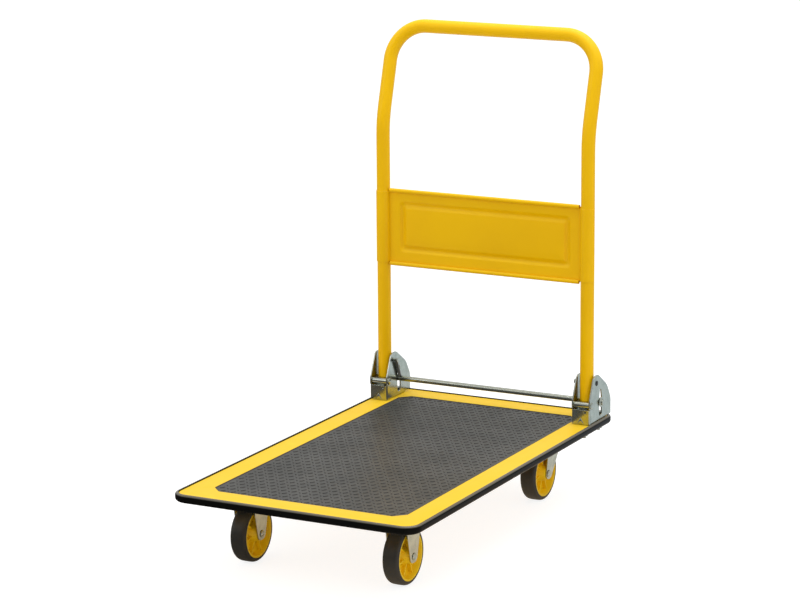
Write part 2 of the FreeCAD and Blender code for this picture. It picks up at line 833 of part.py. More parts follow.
def bent_path(name, points, radii):
    """A wire along straight runs, with a tangent arc of its own radius at each inner point."""
    edges = []
    here = points[0]
    for before, corner, after, radius in zip(points, points[1:], points[2:], radii):
        back = (before - corner).normalize()
        ahead = (after - corner).normalize()
        half = back.getAngle(ahead) / 2
        length = radius / math.tan(half)
        middle = (back + ahead).normalize() * (radius / math.sin(half) - radius)
        start, end = corner + back * length, corner + ahead * length
        edges.append(Part.LineSegment(here, start).toShape())
        edges.append(Part.Arc(start, corner + middle, end).toShape())
        here = end
    edges.append(Part.LineSegment(here, points[-1]).toShape())
    path = doc.addObject("Part::Feature", name)
    path.Shape = Part.Wire(edges)
    return path


def make_handle_tube():
    """One tube: upright legs, a gentle lean backwards, and a grip across the top."""
    spread, back = float(tube_spread), float(tube_back)
    foot = float(pin_level - d.heel_below_pin + d.plug_lip)
    bend = float(d.bend_height)
    grip_level = float(d.handle_top - d.tube_radius)
    grip_back = float(tube_back + d.handle_setback)
    left = [Vector(-spread, back, foot), Vector(-spread, back, bend),
            Vector(-spread, grip_back, grip_level)]
    right = [Vector(-p.x, p.y, p.z) for p in reversed(left)]
    bend_radius, corner = float(d.bend_radius), float(d.grip_corner)
    path = bent_path("handle_path", left + right, [bend_radius, corner, corner, bend_radius])
    runs = [f"Edge{k}" for k in range(1, len(path.Shape.Edges) + 1)]
    skins = []
    for name, radius in (("outer", d.tube_radius), ("inner", d.tube_radius - d.tube_wall)):
        section = primitive("Circle", f"handle_{name}_section",
                            (-tube_spread, tube_back, pin_level - d.heel_below_pin + d.plug_lip),
                            Radius=radius)
        skin = doc.addObject("Part::Sweep", f"handle_{name}")
        skin.Sections = [section]
        skin.Spine = (path, runs)
        skin.Solid = True
        skin.Frenet = False
        skins.append(skin)
    keep(cut("handle", *skins), "handle_tube")


def make_handle_panel():
    """Pressed panel between the legs: grooved sheet, rolled hems and half sleeves on the legs."""
    hem_back = tube_back - d.hem_radius
    half = tube_spread - d.tube_radius
    low = d.panel_foot + d.hem_radius
    high = d.panel_foot + d.panel_tall - d.hem_radius
    face = hem_back + d.hem_radius - d.panel_sheet
    skin = block("panel_skin", (-half, face, low), half * 2, d.panel_sheet, high - low)
    step = d.groove_depth + d.panel_sheet
    around = d.groove_inset - d.panel_sheet
    within = d.groove_inset + d.groove_width + d.panel_sheet
    ridge = frame_block("panel_ridge", around, within, face, step)
    groove = frame_block("panel_groove", d.groove_inset, d.groove_inset + d.groove_width, face,
                         d.groove_depth)
    parts = [cut("panel_pressed", fused("panel_raised", skin, ridge), groove)]
    hem_half = half - d.hem_end_gap
    for name, level in (("low", low), ("high", high)):
        roll = cylinder(f"hem_{name}_roll", (-hem_half, hem_back, level), d.hem_radius,
                        hem_half * 2, ALONG_X)
        bore = cylinder(f"hem_{name}_bore", (-half, hem_back, level), d.hem_radius - d.panel_sheet,
                        half * 2, ALONG_X)
        parts.append(cut(f"hem_{name}", roll, bore))
    tall = d.panel_tall - d.flange_inset * 2
    for side_name, side in SIDES.items():
        at = (tube_spread * side, tube_back, d.panel_foot + d.flange_inset)
        shell = cylinder(f"{side_name}_flange_shell", at, d.tube_radius + d.panel_sheet, tall,
                         Rotation(Vector(0, 0, 1), 180))
        shell.Angle = 180
        bore = cylinder(f"{side_name}_flange_bore", at, d.tube_radius, tall)
        parts.append(cut(f"{side_name}_flange", shell, bore))
    keep(fused("panel", *parts), "handle_panel")


def frame_block(name, outer, inner, face, depth):
    """A rectangular frame in the panel's plane between two insets from its outline."""
    half = tube_spread - d.tube_radius
    blocks = []
    for part, inset in (("whole", outer), ("middle", inner)):
        blocks.append(block(f"{name}_{part}", (inset - half, face, d.panel_foot + inset),
                            (half - inset) * 2, depth, d.panel_tall - inset * 2))
    return cut(name, *blocks)


def make_pivot_knuckle(side_name, side):
    """Sleeve on the pin, welded to the front of the handle's foot, with a stop lug below it."""
    inner_half = bracket_half - d.bracket_sheet - d.side_gap
    start = tube_spread * side - inner_half
    length = inner_half * 2
    saddle_start = tube_spread * side - d.saddle_width / 2
    foot = pin_level - d.heel_below_pin + d.plug_lip
    sleeve = cylinder(f"{side_name}_sleeve_blank", (start, pin_back, pin_level), sleeve_radius,
                      length, ALONG_X)
    saddle = block(f"{side_name}_saddle", (saddle_start, pin_back, foot), d.saddle_width,
                   tube_back - pin_back, sleeve_radius + pin_level - foot)
    stop_front = bracket_front + d.bracket_sheet + d.side_gap
    lug_top = d.deck_height + d.web_tall - d.side_gap
    lug = block(f"{side_name}_lug", (saddle_start, stop_front, foot), d.saddle_width,
                pin_back - stop_front + d.bracket_sheet, lug_top - foot)
    blank = fused(f"{side_name}_knuckle_blank", sleeve, saddle, lug)
    bore = cylinder(f"{side_name}_sleeve_bore", (start, pin_back, pin_level),
                    d.pin_radius + d.running_gap, length, ALONG_X)
    tube = cylinder(f"{side_name}_saddle_seat",
                    (tube_spread * side, tube_back, foot - d.tube_radius), d.tube_radius,
                    d.heel_below_pin * 4)
    keep(cut(f"{side_name}_knuckle", blank, bore, tube), f"{side_name}_pivot_knuckle")


def make_foot_plugs():
    """Plastic plugs in the open feet of the handle."""
    plugs = []
    foot = pin_level - d.heel_below_pin
    for side_name, side in SIDES.items():
        at = (tube_spread * side, tube_back, foot)
        lip = cylinder(f"{side_name}_plug_lip", at, d.tube_radius, d.plug_lip)
        stem = cylinder(f"{side_name}_plug_stem", at, d.tube_radius - d.tube_wall, d.plug_depth)
        plugs.append(fused(f"{side_name}_plug", lip, stem))
    keep(group("plugs", plugs), "handle_foot_plugs")


# ---------------------------------------------------------------- casters

def make_hub(name, at):
    """Moulded hub: boss, dished web, rim and radial ribs, turned about the axle."""
    body = new_body(f"{name}_hub")
    place(body, at)
    bore = d.axle_sleeve + d.running_gap
    end = d.hub_length / 2
    rim = d.tyre_width / 2 - d.hub_rim_inset
    web = d.hub_web / 2
    rim_foot = hub_radius - d.hub_rim_wall
    half = [(end, bore), (end, d.hub_boss), (web, d.hub_boss + d.hub_shoulder),
            (web, rim_foot - d.hub_rim_inset), (rim, rim_foot + d.hub_rim_inset),
            (rim, hub_radius)]
    profile = polygon(sketch_on(body, "XY_Plane"), half + [(-u, v) for u, v in reversed(half)])
    turned = body.newObject("PartDesign::Revolution", body.Name + "_turned")
    turned.Profile = profile
    turned.ReferenceAxis = (profile, ["H_Axis"])
    turned.Angle = 360
    doc.recompute()
    reach = rim - d.hub_rib_inset
    rib = rectangle(sketch_on(body, "XY_Plane"), -reach, reach, (bore + d.hub_boss) / 2, rim_foot)
    rib_pad = pad(body, rib, d.rib_thickness, middle=True)
    spin = next(item for item in body.Origin.OriginFeatures if item.Role == "X_Axis")
    ribs = body.newObject("PartDesign::PolarPattern", body.Name + "_ribs")
    ribs.Originals = [rib_pad]
    ribs.Axis = (spin, [""])
    ribs.Angle = 360
    ribs.Occurrences = RIBS
    body.Tip = ribs
    doc.recompute()


def make_tyre(name, at):
    body = new_body(f"{name}_tyre")
    place(body, at)
    half = d.tyre_width / 2
    profile = rectangle(sketch_on(body, "XY_Plane"), -half, half, hub_radius, wheel_radius)
    turned = body.newObject("PartDesign::Revolution", body.Name + "_turned")
    turned.Profile = profile
    turned.ReferenceAxis = (profile, ["H_Axis"])
    turned.Angle = 360
    doc.recompute()
    round_off(body, d.tyre_thickness - d.tyre_bead,
              lambda edge: near(edge.BoundBox.ZMax, wheel_radius)
              and near(abs(edge.BoundBox.XMin), half) and near(abs(edge.BoundBox.XMax), half))


def leg_slot(body, high):
    """The space for the wheel between the two legs of a fork."""
    reach = d.plate_length
    slot = rectangle(sketch_on(body, "YZ_Plane"), -reach, reach, -wheel_radius, high)
    pocket(body, slot, d.fork_gap, middle=True)


def make_fixed_fork(name, at):
    """Fixed fork: a bolted plate with two tapered legs, its own frame at the axle."""
    body = new_body(f"{name}_fork")
    place(body, at)
    toe = d.fork_toe
    top = plate_underside - wheel_radius
    waist, hip = d.fork_waist, d.fork_hip
    corners = [(-toe, -toe), (toe, -toe), (waist, d.waist_height), (hip, top),
               (-hip, top), (-waist, d.waist_height)]
    pad(body, polygon(sketch_on(body, "YZ_Plane"), corners), d.fork_gap + d.fork_sheet * 2,
        middle=True)
    for corner in corners[:2]:
        round_off(body, toe - d.toe_flat, lambda edge: straight_through(edge, 0, *corner))
    leg_slot(body, top - d.fork_sheet)
    plate = rounded_rectangle(sketch_on(body, "XY_Plane", top), d.plate_width / 2,
                              d.plate_length / 2, d.plate_corner)
    pad(body, plate, d.plate_thickness)
    holes = sketch_on(body, "YZ_Plane")
    circle(holes, 0, 0, d.axle_radius)
    pocket(body, holes, d.plate_width, middle=True)
    drill_caster_plate(body, top + d.plate_thickness)


def drill_caster_plate(body, level):
    sketch = sketch_on(body, "XY_Plane", level)
    for across in (-1, 1):
        for along in (-1, 1):
            circle(sketch, d.plate_bolt_wide / 2 * across, d.plate_bolt_long / 2 * along,
                   d.bolt_radius + d.bolt_hole_gap)
    pocket(body, sketch, d.plate_thickness)


def make_swivel_plate(name, at):
    """Fixed half of a swivel caster: bolted plate with the upper ball race under it."""
    body = new_body(f"{name}_top_plate")
    place(body, at)
    plate = rounded_rectangle(sketch_on(body, "XY_Plane"), d.plate_width / 2, d.plate_length / 2,
                              d.plate_corner)
    pad(body, plate, d.plate_thickness, reverse=True)
    race = sketch_on(body, "XY_Plane", -d.plate_thickness)
    circle(race, 0, 0, d.race_radius + d.race_width / 2)
    circle(race, 0, 0, d.race_radius - d.race_width / 2)
    pad(body, race, d.ball_radius, reverse=True)
    cut_race(body, -d.plate_thickness - d.ball_radius - d.ball_gap)
    centre = circle(sketch_on(body, "XY_Plane"), 0, 0, d.kingpin_radius)
    pocket(body, centre, d.plate_thickness)
    drill_caster_plate(body, sized(0))


def cut_race(body, level):
    """A ball groove round the kingpin, its circle of centres at the given level."""
    sketch = circle(sketch_on(body, "XZ_Plane"), d.race_radius, level, d.ball_radius + d.ball_gap)
    before = body.Tip.Shape.Volume
    groove = body.newObject("PartDesign::Groove", body.Name + "_race")
    groove.Profile = sketch
    groove.ReferenceAxis = (sketch, ["V_Axis"])
    groove.Angle = 360
    doc.recompute()
    if not groove.Shape.Volume < before - 1e-6:
        raise RuntimeError(f"{body.Label}: the race cuts nothing")


ball_drop = d.plate_thickness + d.ball_radius + d.ball_gap
race_top = ball_drop + d.ball_gap * 2
crown_top = race_top + d.ball_radius


def make_swivel_fork(name, at):
    """Turning half of a swivel caster, its own frame on the kingpin at the plate's top face."""
    body = new_body(f"{name}_fork")
    place(body, at)
    toe, trail = d.fork_toe, d.caster_trail
    axle = wheel_radius - caster_height
    shoulder = -crown_top - d.fork_sheet
    back, front = d.cheek_back, -d.cheek_front
    corners = [(-trail - toe, axle - toe), (toe - trail, axle - toe),
               (back, shoulder - d.cheek_drop), (back, shoulder + d.fork_sheet / 2),
               (front, shoulder + d.fork_sheet / 2), (-d.cheek_chin, shoulder - d.chin_drop)]
    pad(body, polygon(sketch_on(body, "YZ_Plane"), corners), d.fork_gap + d.fork_sheet * 2,
        middle=True)
    for corner in corners[:2]:
        round_off(body, toe - d.toe_flat, lambda edge: straight_through(edge, 0, *corner))
    slot = rectangle(sketch_on(body, "YZ_Plane"), -d.plate_length, d.plate_length,
                     -caster_height, shoulder)
    pocket(body, slot, d.fork_gap, middle=True)
    crown = sketch_on(body, "XY_Plane", -crown_top)
    circle(crown, 0, 0, d.crown_radius)
    pad(body, crown, d.fork_sheet, reverse=True)
    race = sketch_on(body, "XY_Plane", -crown_top)
    circle(race, 0, 0, d.race_radius + d.race_width / 2)
    pad(body, race, d.ball_radius)
    cut_race(body, -ball_drop)
    bore = circle(sketch_on(body, "XY_Plane"), 0, 0, d.kingpin_radius + d.running_gap)
    pocket(body, bore, caster_height)
    holes = circle(sketch_on(body, "YZ_Plane"), -trail, axle, d.axle_radius)
    pocket(body, holes, d.plate_width, middle=True)


def make_kingpin(name, at):
    """Rivet through plate and crown, headed under the crown."""
    across, back, level = at
    head_tall = d.fork_sheet
    under = level - crown_top - d.fork_sheet - d.side_gap
    shank = cylinder(f"{name}_kingpin_shank", (across, back, under), d.kingpin_radius,
                     crown_top + d.fork_sheet + d.side_gap)
    head = cylinder(f"{name}_kingpin_head", (across, back, under - head_tall),
                    d.kingpin_head, head_tall)
    keep(fused(f"{name}_kingpin_rivet", shank, head), f"{name}_kingpin")


def make_swivel_balls(name, at):
    across, back, level = at
    balls = []
    for k in range(BALLS):
        angle = math.radians(360 / BALLS * k)
        spot = (across + d.race_radius * math.cos(angle), back + d.race_radius * math.sin(angle),
                level - ball_drop)
        balls.append(primitive("Sphere", f"{name}_ball", spot, Radius=d.ball_radius))
    keep(group(f"{name}_balls", balls), f"{name}_swivel_balls")


def hexagon(name, at, tall, turn=None):
    obj = doc.addObject("Part::Prism", name)
    obj.Polygon = 6
    bind(obj, "Circumradius", d.hex_radius)
    bind(obj, "Height", tall)
    return place(obj, at, turn)


def nut(name, at, radius, tall, turn=None):
    return cut(name, hexagon(f"{name}_hex", at, tall, turn),
               cylinder(f"{name}_bore", at, radius, tall, turn))


def make_axle(name, at):
    """Low-headed axle bolt, its nut and the sleeve that the legs clamp, on one line across."""
    across, back, level = at
    leg = d.fork_gap / 2 + d.fork_sheet
    tail = d.nut_tall + d.bolt_tail / 2
    shank = cylinder(f"{name}_axle_shank", (across - leg - tail, back, level), d.axle_radius,
                     leg * 2 + tail, ALONG_X)
    head = cylinder(f"{name}_axle_head", (across + leg, back, level), d.axle_head,
                    d.axle_head_tall, ALONG_X)
    bolt = fused(f"{name}_axle", shank, head)
    lock = nut(f"{name}_axle_lock", (across - leg - d.nut_tall, back, level), d.axle_radius,
               d.nut_tall, ALONG_X)
    start = (across - d.fork_gap / 2, back, level)
    tube = cut(f"{name}_spacer",
               cylinder(f"{name}_spacer_skin", start, d.axle_sleeve, d.fork_gap, ALONG_X),
               cylinder(f"{name}_spacer_bore", start, d.axle_radius, d.fork_gap, ALONG_X))
    return bolt, lock, tube


def make_casters():
    front = {"bolt": [], "nut": [], "sleeve": []}
    for name, (across, back) in wheel_places.items():
        centre = (across, back, wheel_radius)
        make_tyre(name, centre)
        make_hub(name, centre)
        bolt, lock, tube = make_axle(name, centre)
        if name.startswith("front"):
            make_fixed_fork(name, centre)
            for key, item in zip(front, (bolt, lock, tube)):
                front[key].append(item)
        else:
            pivot = (across, back + d.caster_trail, caster_height)
            make_swivel_plate(name, pivot)
            make_swivel_fork(name, pivot)
            make_kingpin(name, pivot)
            make_swivel_balls(name, pivot)
            keep(bolt, f"{name}_axle_bolt")
            keep(lock, f"{name}_axle_nut")
            keep(tube, f"{name}_axle_sleeve")
    for key, parts in front.items():
        keep(group(f"front_{key}s", parts), f"front_axle_{key}s")


# ---------------------------------------------------------------- fasteners of the deck

def bolt_down(name, across, back, head_base, length):
    """A hexagon bolt that points down, its head standing on the given level."""
    head = hexagon(f"{name}_head", (across, back, head_base), d.hex_tall)
    shank = cylinder(f"{name}_shank", (across, back, head_base - length), d.bolt_radius, length)
    return fused(name, head, shank)


def make_bracket_fasteners():
    bolts, nuts = [], []
    top = d.deck_height + d.bracket_sheet
    seat = rim_underside - d.doubler_depth
    length = top - seat + d.nut_tall + d.bolt_tail
    for side in SIDES.values():
        for back in bracket_bolts:
            across = tube_spread * side
            bolts.append(bolt_down("bracket_bolt", across, back, top, length))
            nuts.append(nut("bracket_nut", (across, back, seat - d.nut_tall), d.bolt_radius,
                            d.nut_tall))
    keep(group("bracket_bolt_set", bolts), "bracket_bolts")
    keep(group("bracket_nut_set", nuts), "bracket_nuts")


def make_caster_fasteners():
    """Bolts through each caster plate into nuts inside the rails."""
    bolts, nuts = [], []
    seat = caster_height + d.rail_sheet
    reach = d.plate_thickness + d.rail_sheet + d.nut_tall
    for across, back in plate_middles:
        for wide in (-1, 1):
            for far in (-1, 1):
                x = across + d.plate_bolt_wide / 2 * wide
                y = back + d.plate_bolt_long / 2 * far
                head = hexagon("caster_bolt_head", (x, y, plate_underside - d.hex_tall),
                               d.hex_tall)
                shank = cylinder("caster_bolt_shank", (x, y, plate_underside), d.bolt_radius,
                                 reach)
                bolts.append(fused("caster_bolt", head, shank))
                nuts.append(nut("caster_nut", (x, y, seat), d.bolt_radius, d.nut_tall))
    keep(group("caster_bolt_set", bolts), "caster_bolts")
    keep(group("caster_nut_set", nuts), "caster_nuts")


# ---------------------------------------------------------------- build and write

def build():
    make_deck_plate()
    make_deck_mat()
    make_edge_bumper()
    make_rails()
    make_bracket_doublers()
    for side_name, side in SIDES.items():
        make_bracket(side_name, side)
        make_pivot_pin(side_name, side)
        make_spring(side_name, side)
        make_pivot_knuckle(side_name, side)
    make_spring_anchors()
    make_release_bar()
    make_handle_tube()
    make_handle_panel()
    make_foot_plugs()
    make_casters()
    make_bracket_fasteners()
    make_caster_fasteners()
    doc.recompute()


def check():
    """Stop before anything is written if an object failed or a sub-part has no sound shape."""
    for obj in doc.Objects:
        if "Invalid" in obj.State or "Error" in obj.State:
            raise RuntimeError(f"{obj.Label} failed: {obj.State}")
    for obj in nodes:
        if obj.Shape.isNull() or not obj.Shape.isValid() or not obj.Shape.Solids:
            raise RuntimeError(f"{obj.Label} has no valid solid")


def write():
    os.makedirs("parts", exist_ok=True)
    for obj in nodes:
        obj.Shape.exportStep(f"parts/{obj.Label}.step")
    print(f"{len(nodes)} sub-parts written")


build()
check()
write()
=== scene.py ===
# %% [markdown]
# # Folding platform cart
#
# This file dresses a flat-deck push cart: a pressed steel deck with a rubber mat and a soft black
# edge, a push handle that folds forward over the deck, a sprung foot bar that frees it, two fixed
# casters in front and two swivel casters under the handle.
#
# A construction model gives the real sizes, and it is loaded first. Everything here is placed
# from its boxes, so nothing has to be fitted by eye. Some of its pieces are already right and
# only get a finish. The others are made again with the rolled edges, folds and ribs that light
# catches.

# %% Load the construction model
import json
import math
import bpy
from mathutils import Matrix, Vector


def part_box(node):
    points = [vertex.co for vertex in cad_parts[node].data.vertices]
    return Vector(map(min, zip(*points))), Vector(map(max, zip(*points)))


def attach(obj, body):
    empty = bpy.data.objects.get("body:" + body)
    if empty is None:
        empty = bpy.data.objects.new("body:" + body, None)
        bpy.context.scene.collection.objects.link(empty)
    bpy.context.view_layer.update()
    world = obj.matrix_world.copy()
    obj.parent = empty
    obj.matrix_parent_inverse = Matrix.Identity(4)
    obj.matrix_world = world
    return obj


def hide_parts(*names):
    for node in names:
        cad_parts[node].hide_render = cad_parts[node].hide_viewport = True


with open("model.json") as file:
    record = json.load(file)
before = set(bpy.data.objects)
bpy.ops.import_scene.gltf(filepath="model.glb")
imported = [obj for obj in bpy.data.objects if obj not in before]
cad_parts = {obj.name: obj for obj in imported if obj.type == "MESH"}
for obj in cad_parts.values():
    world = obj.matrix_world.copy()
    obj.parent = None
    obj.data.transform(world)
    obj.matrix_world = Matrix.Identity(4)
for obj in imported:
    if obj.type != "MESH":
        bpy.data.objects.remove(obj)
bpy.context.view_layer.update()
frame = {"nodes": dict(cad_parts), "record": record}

from types import SimpleNamespace

import bmesh
import bpy
from mathutils import Euler, Matrix, Vector

record = frame["record"]

# %% [markdown]
# ## Tools for making shapes
#
# Most of the cart is one of four things: a stack of outlines (deck, edge, tube), a profile turned
# round an axis (tyres, rivets), a flat sheet that is cut and then folded (brackets, forks), or
# one small part repeated many times (screws, ribs, the mat's bars).
#
# Each could be modelled by hand with its own modifiers. Writing four small tools instead keeps
# every size in one place and gives closed meshes with few faces. They all work in millimetres,
# the unit of a workshop drawing, and the last step turns millimetres into metres.

# %% A node's box in millimetres, and points round a corner
MM = 0.001
CORNER_STEPS = 8


def box_mm(node):
    """A construction node's box: low and high corner, middle and half size."""
    low, high = (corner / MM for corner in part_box(node))
    return SimpleNamespace(low=low, high=high, middle=(low + high) / 2, half=(high - low) / 2)


def arc(centre, radius, start, end, steps):
    """Points on a circle, angles in degrees, both ends included."""
    angles = [math.radians(start + (end - start) * k / steps) for k in range(steps + 1)]
    return [(centre[0] + radius * math.cos(a), centre[1] + radius * math.sin(a)) for a in angles]


def tangent_arc(before, corner, after, radius, steps=None):
    """Points that round a corner, tangent to both runs; without steps, some 4 degrees apart."""
    corner = Vector(corner)
    runs = [(Vector(point) - corner).normalized() for point in (before, after)]
    half = runs[0].angle(runs[1]) / 2
    centre = corner + (runs[0] + runs[1]).normalized() * radius / math.sin(half)
    first, last = (corner + run * radius / math.tan(half) - centre for run in runs)
    turn = first.angle(last)
    steps = steps or max(3, round(math.degrees(turn) / 4))
    return [centre + (first * math.sin((1 - k / steps) * turn)
                      + last * math.sin(k / steps * turn)) / math.sin(turn)
            for k in range(steps + 1)]


def rounded(corners, steps=CORNER_STEPS):
    """A closed outline from (u, v, radius) corners; the radius rounds each one."""
    outline = []
    for k, (u, v, radius) in enumerate(corners):
        before, after = corners[k - 1][:2], corners[(k + 1) % len(corners)][:2]
        corner = Vector((u, v))
        outline += tangent_arc(before, corner, after, radius, steps) if radius else [corner]
    return [tuple(point) for point in outline]


print("corner sample:", len(rounded([(0, 0, 2), (10, 0, 2), (10, 10, 2), (0, 10, 2)])), "points")

# %% Outlines about the origin
def corner_loop(half_u, half_v, size, height, straight=False, steps=CORNER_STEPS):
    """A level rectangle whose corners are round, or cut off straight with as many points."""
    loop = []
    for sign_u, sign_v, start in ((1, -1, -90), (1, 1, 0), (-1, 1, 90), (-1, -1, 180)):
        centre = (sign_u * (half_u - size), sign_v * (half_v - size))
        if straight:
            (u, v), (end_u, end_v) = arc(centre, size, start, start + 90, 1)
            loop += [(u + (end_u - u) * k / steps, v + (end_v - v) * k / steps)
                     for k in range(steps + 1)]
        else:
            loop += arc(centre, size, start, start + 90, steps)
    return [(u, v, height) for u, v in loop]


def circle_loop(centre, radius, steps=24):
    return arc(centre, radius, 0, 360 - 360 / steps, steps - 1)


print("both outlines:", len(corner_loop(9, 9, 2, 0)), len(corner_loop(9, 9, 2, 0, True)), "points")

# %% [markdown]
# ### Stacked outlines, turned profiles and swept tubes
#
# A loft joins outlines of the same count with quads. Turning a profile is a loft whose outlines
# are the profile at each angle, and a tube is a loft of circles along a path. So one function
# makes all three. Spin, Screw and curve bevels would also do it, but they leave seams and poles
# to clean up.

# %% Loft, turn and sweep
def loft(loops, round_trip=False):
    """Quads between outlines, with closed ends; a round trip joins the last to the first."""
    rows, count = len(loops), len(loops[0])
    faces = []
    for row in range(rows if round_trip else rows - 1):
        here, there = row * count, (row + 1) % rows * count
        faces += [(here + k, here + (k + 1) % count, there + (k + 1) % count, there + k)
                  for k in range(count)]
    if not round_trip:
        faces += [tuple(reversed(range(count))), tuple(range((rows - 1) * count, rows * count))]
    return [Vector(point) for loop in loops for point in loop], faces


def merged(*shapes):
    """Several shapes as one list of points and faces."""
    points, faces = [], []
    for shape_points, shape_faces in shapes:
        faces += [tuple(len(points) + k for k in face) for face in shape_faces]
        points += shape_points
    return points, faces


def pair(builder):
    """What a builder makes for the left side, -1, and for the right side, 1, as one shape."""
    return merged(builder(-1), builder(1))


def both_sides(half_profile):
    """A profile of one side with its mirror image, in one closed loop."""
    return [(-along, radius) for along, radius in reversed(half_profile)] + half_profile


def turned(profile, centre, axis="X", steps=64, way=1):
    """A closed profile of (along, radius), or a rule for it at each step, turned round an axis."""
    loops = []
    for step in range(steps):
        angle = math.tau * step / steps
        arms = [(way * along, radius * math.cos(angle), radius * math.sin(angle))
                for along, radius in (profile(step) if callable(profile) else profile)]
        loops.append([Vector(centre) + Vector(arm if axis == "X" else arm[1:] + arm[:1])
                      for arm in arms])
    return loft(loops, round_trip=True)


def bent_path(corners, radii):
    """Points along straight runs joined by tangent arcs."""
    path = [Vector(corners[0])]
    for before, corner, after, radius in zip(corners, corners[1:], corners[2:], radii):
        path += tangent_arc(before, corner, after, radius)
    return path + [Vector(corners[-1])]


def tube_loops(path, radius, sides=48):
    """Circles along a path, each turned as little as possible from the one before."""
    loops = []
    ahead = (path[1] - path[0]).normalized()
    side = ahead.orthogonal().normalized()
    for before, point, after in zip(path[:1] + path, path, path[1:] + path[-1:]):
        new_ahead = (after - before).normalized()
        side = ahead.rotation_difference(new_ahead) @ side
        ahead = new_ahead
        other = ahead.cross(side)
        loops.append([point + (side * math.cos(a) + other * math.sin(a)) * radius
                      for a in (math.tau * step / sides for step in range(sides))])
    return loops


print("a turned ring:", len(turned([(0, 5), (2, 5), (2, 6), (0, 6)], (0, 0, 0))[1]), "faces")

# %% [markdown]
# ### Cut and folded sheet
#
# Brackets and forks start as flat sheet on a laser or punch. The blank is cut, then a press folds
# it. This tool works the same way: it fills the flat outline, leaves the holes open, gives the
# sheet its thickness with a small chamfer where a punch breaks the edge, and then a rule moves
# every point to where the fold takes it. Cutting lines across each fold give the bend enough
# points to be round. A block with boolean cuts would be quicker to write, but it has no bend
# radius and no broken edge.

# %% Sheet metal from a flat blank
SHARPEST_MITRE = 0.3


def sheet_metal(outline, holes, thickness, fold, cuts=(), broken_edge=0.25):
    """A flat blank with holes, thickened, its edges broken, and folded by a rule for points."""
    blank = bmesh.new()
    for loop in [outline, *holes]:
        corners = [blank.verts.new((u, v, 0)) for u, v in loop]
        for here, there in zip(corners, corners[1:] + corners[:1]):
            blank.edges.new((here, there))
    bmesh.ops.triangle_fill(blank, use_beauty=True, edges=blank.edges[:], normal=(0, 0, 1))
    for cut in cuts:
        everything = blank.verts[:] + blank.edges[:] + blank.faces[:]
        bmesh.ops.bisect_plane(blank, geom=everything, plane_co=(cut, 0, 0), plane_no=(1, 0, 0))
    for face in blank.faces:
        if face.normal.z < 0:
            face.normal_flip()
    blank.verts.index_update()
    outward, rim = {}, []
    for corner in (edge.link_loops[0] for edge in blank.edges if edge.is_boundary):
        here, there = corner.vert, corner.link_loop_next.vert
        along = (there.co - here.co).normalized()
        rim.append((here.index, there.index))
        for vert in (here, there):
            outward.setdefault(vert.index, []).append(Vector((along.y, -along.x, 0)))
    mitre = {k: sum(ways, Vector()) / max(SHARPEST_MITRE, 1 + ways[0].dot(ways[-1]))
             for k, ways in outward.items()}
    spots = [vert.co.copy() for vert in blank.verts]
    skin = [[vert.index for vert in face.verts] for face in blank.faces]
    blank.free()
    levels = [(thickness, -broken_edge), (thickness - broken_edge, 0), (broken_edge, 0),
              (0, -broken_edge)]
    points, number = [], {}
    for level, (height, shift) in enumerate(levels):
        for k, spot in enumerate(spots):
            if level in (0, 3) or k in mitre:
                moved = spot + mitre.get(k, Vector()) * shift
                number[level, k] = len(points)
                points.append(Vector(fold(moved.x, moved.y, height)))
    faces = [[number[0, k] for k in face] for face in skin]
    faces += [[number[3, k] for k in reversed(face)] for face in skin]
    faces += [[number[level, here], number[level + 1, here],
               number[level + 1, there], number[level, there]]
              for here, there in rim for level in range(3)]
    return points, faces


def fold_cuts(*bends, steps=6):
    """Lines across each bend, given as (start, end) on the flat blank."""
    return [start + (end - start) * k / steps for start, end in bends for k in range(steps + 1)]


square = [(0, 0), (20, 0), (20, 20), (0, 20)]
sample = sheet_metal(square, [circle_loop((10, 10), 4)], 2, lambda u, v, t: (u, v, t))
print("a drilled square of sheet:", len(sample[1]), "faces")

# %% [markdown]
# ### From points to a finished piece
#
# Every piece ends the same way: metres instead of millimetres, doubles merged, all faces outward,
# soft shading with crisp creases, a finish, the body it moves with and the construction nodes
# that it stands for. Doing this once means that no piece can miss a step.

# %% Make a piece
finishes = {}
MERGE_DISTANCE = 0.004


def plain_mesh(name, shape):
    """A clean mesh in metres from points and faces in millimetres."""
    points, faces = shape
    mesh = bpy.data.meshes.new(name)
    mesh.from_pydata([point * MM for point in points], [], faces)
    work = bmesh.new()
    work.from_mesh(mesh)
    bmesh.ops.remove_doubles(work, verts=work.verts[:], dist=MERGE_DISTANCE * MM)
    bmesh.ops.recalc_face_normals(work, faces=work.faces[:])
    work.to_mesh(mesh)
    work.free()
    return mesh


def in_scene(thing):
    bpy.context.scene.collection.objects.link(thing)
    return thing


def add_piece(name, mesh, finish, body, replaces=(), crease=32.0):
    """Put a mesh in the scene as a finished piece of one body."""
    mesh.shade_smooth()
    mesh.set_sharp_from_angle(angle=math.radians(crease))
    mesh.materials.clear()
    mesh.materials.append(finishes[finish])
    piece = in_scene(bpy.data.objects.new(name, mesh))
    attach(piece, body)
    if replaces:
        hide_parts(*replaces)
    print(f"{name}: {len(mesh.vertices)} points, {len(mesh.polygons)} faces")


def make(name, shape, finish, body, replaces=(), crease=32.0):
    add_piece(name, plain_mesh(name, shape), finish, body, replaces, crease)


# %% [markdown]
# ### Repeated parts
#
# Screws, ribs and the mat's bars repeat. Geometry Nodes place them: a tree takes one part and
# puts a copy at each point, so a hundred copies cost no more code than one. Array modifiers would
# do for the ribs but not for screws that each stop at their own angle. Each tree has named inputs
# for its sizes, in metres like the part it copies, and what it makes is turned into a plain mesh,
# because only real faces are exported.

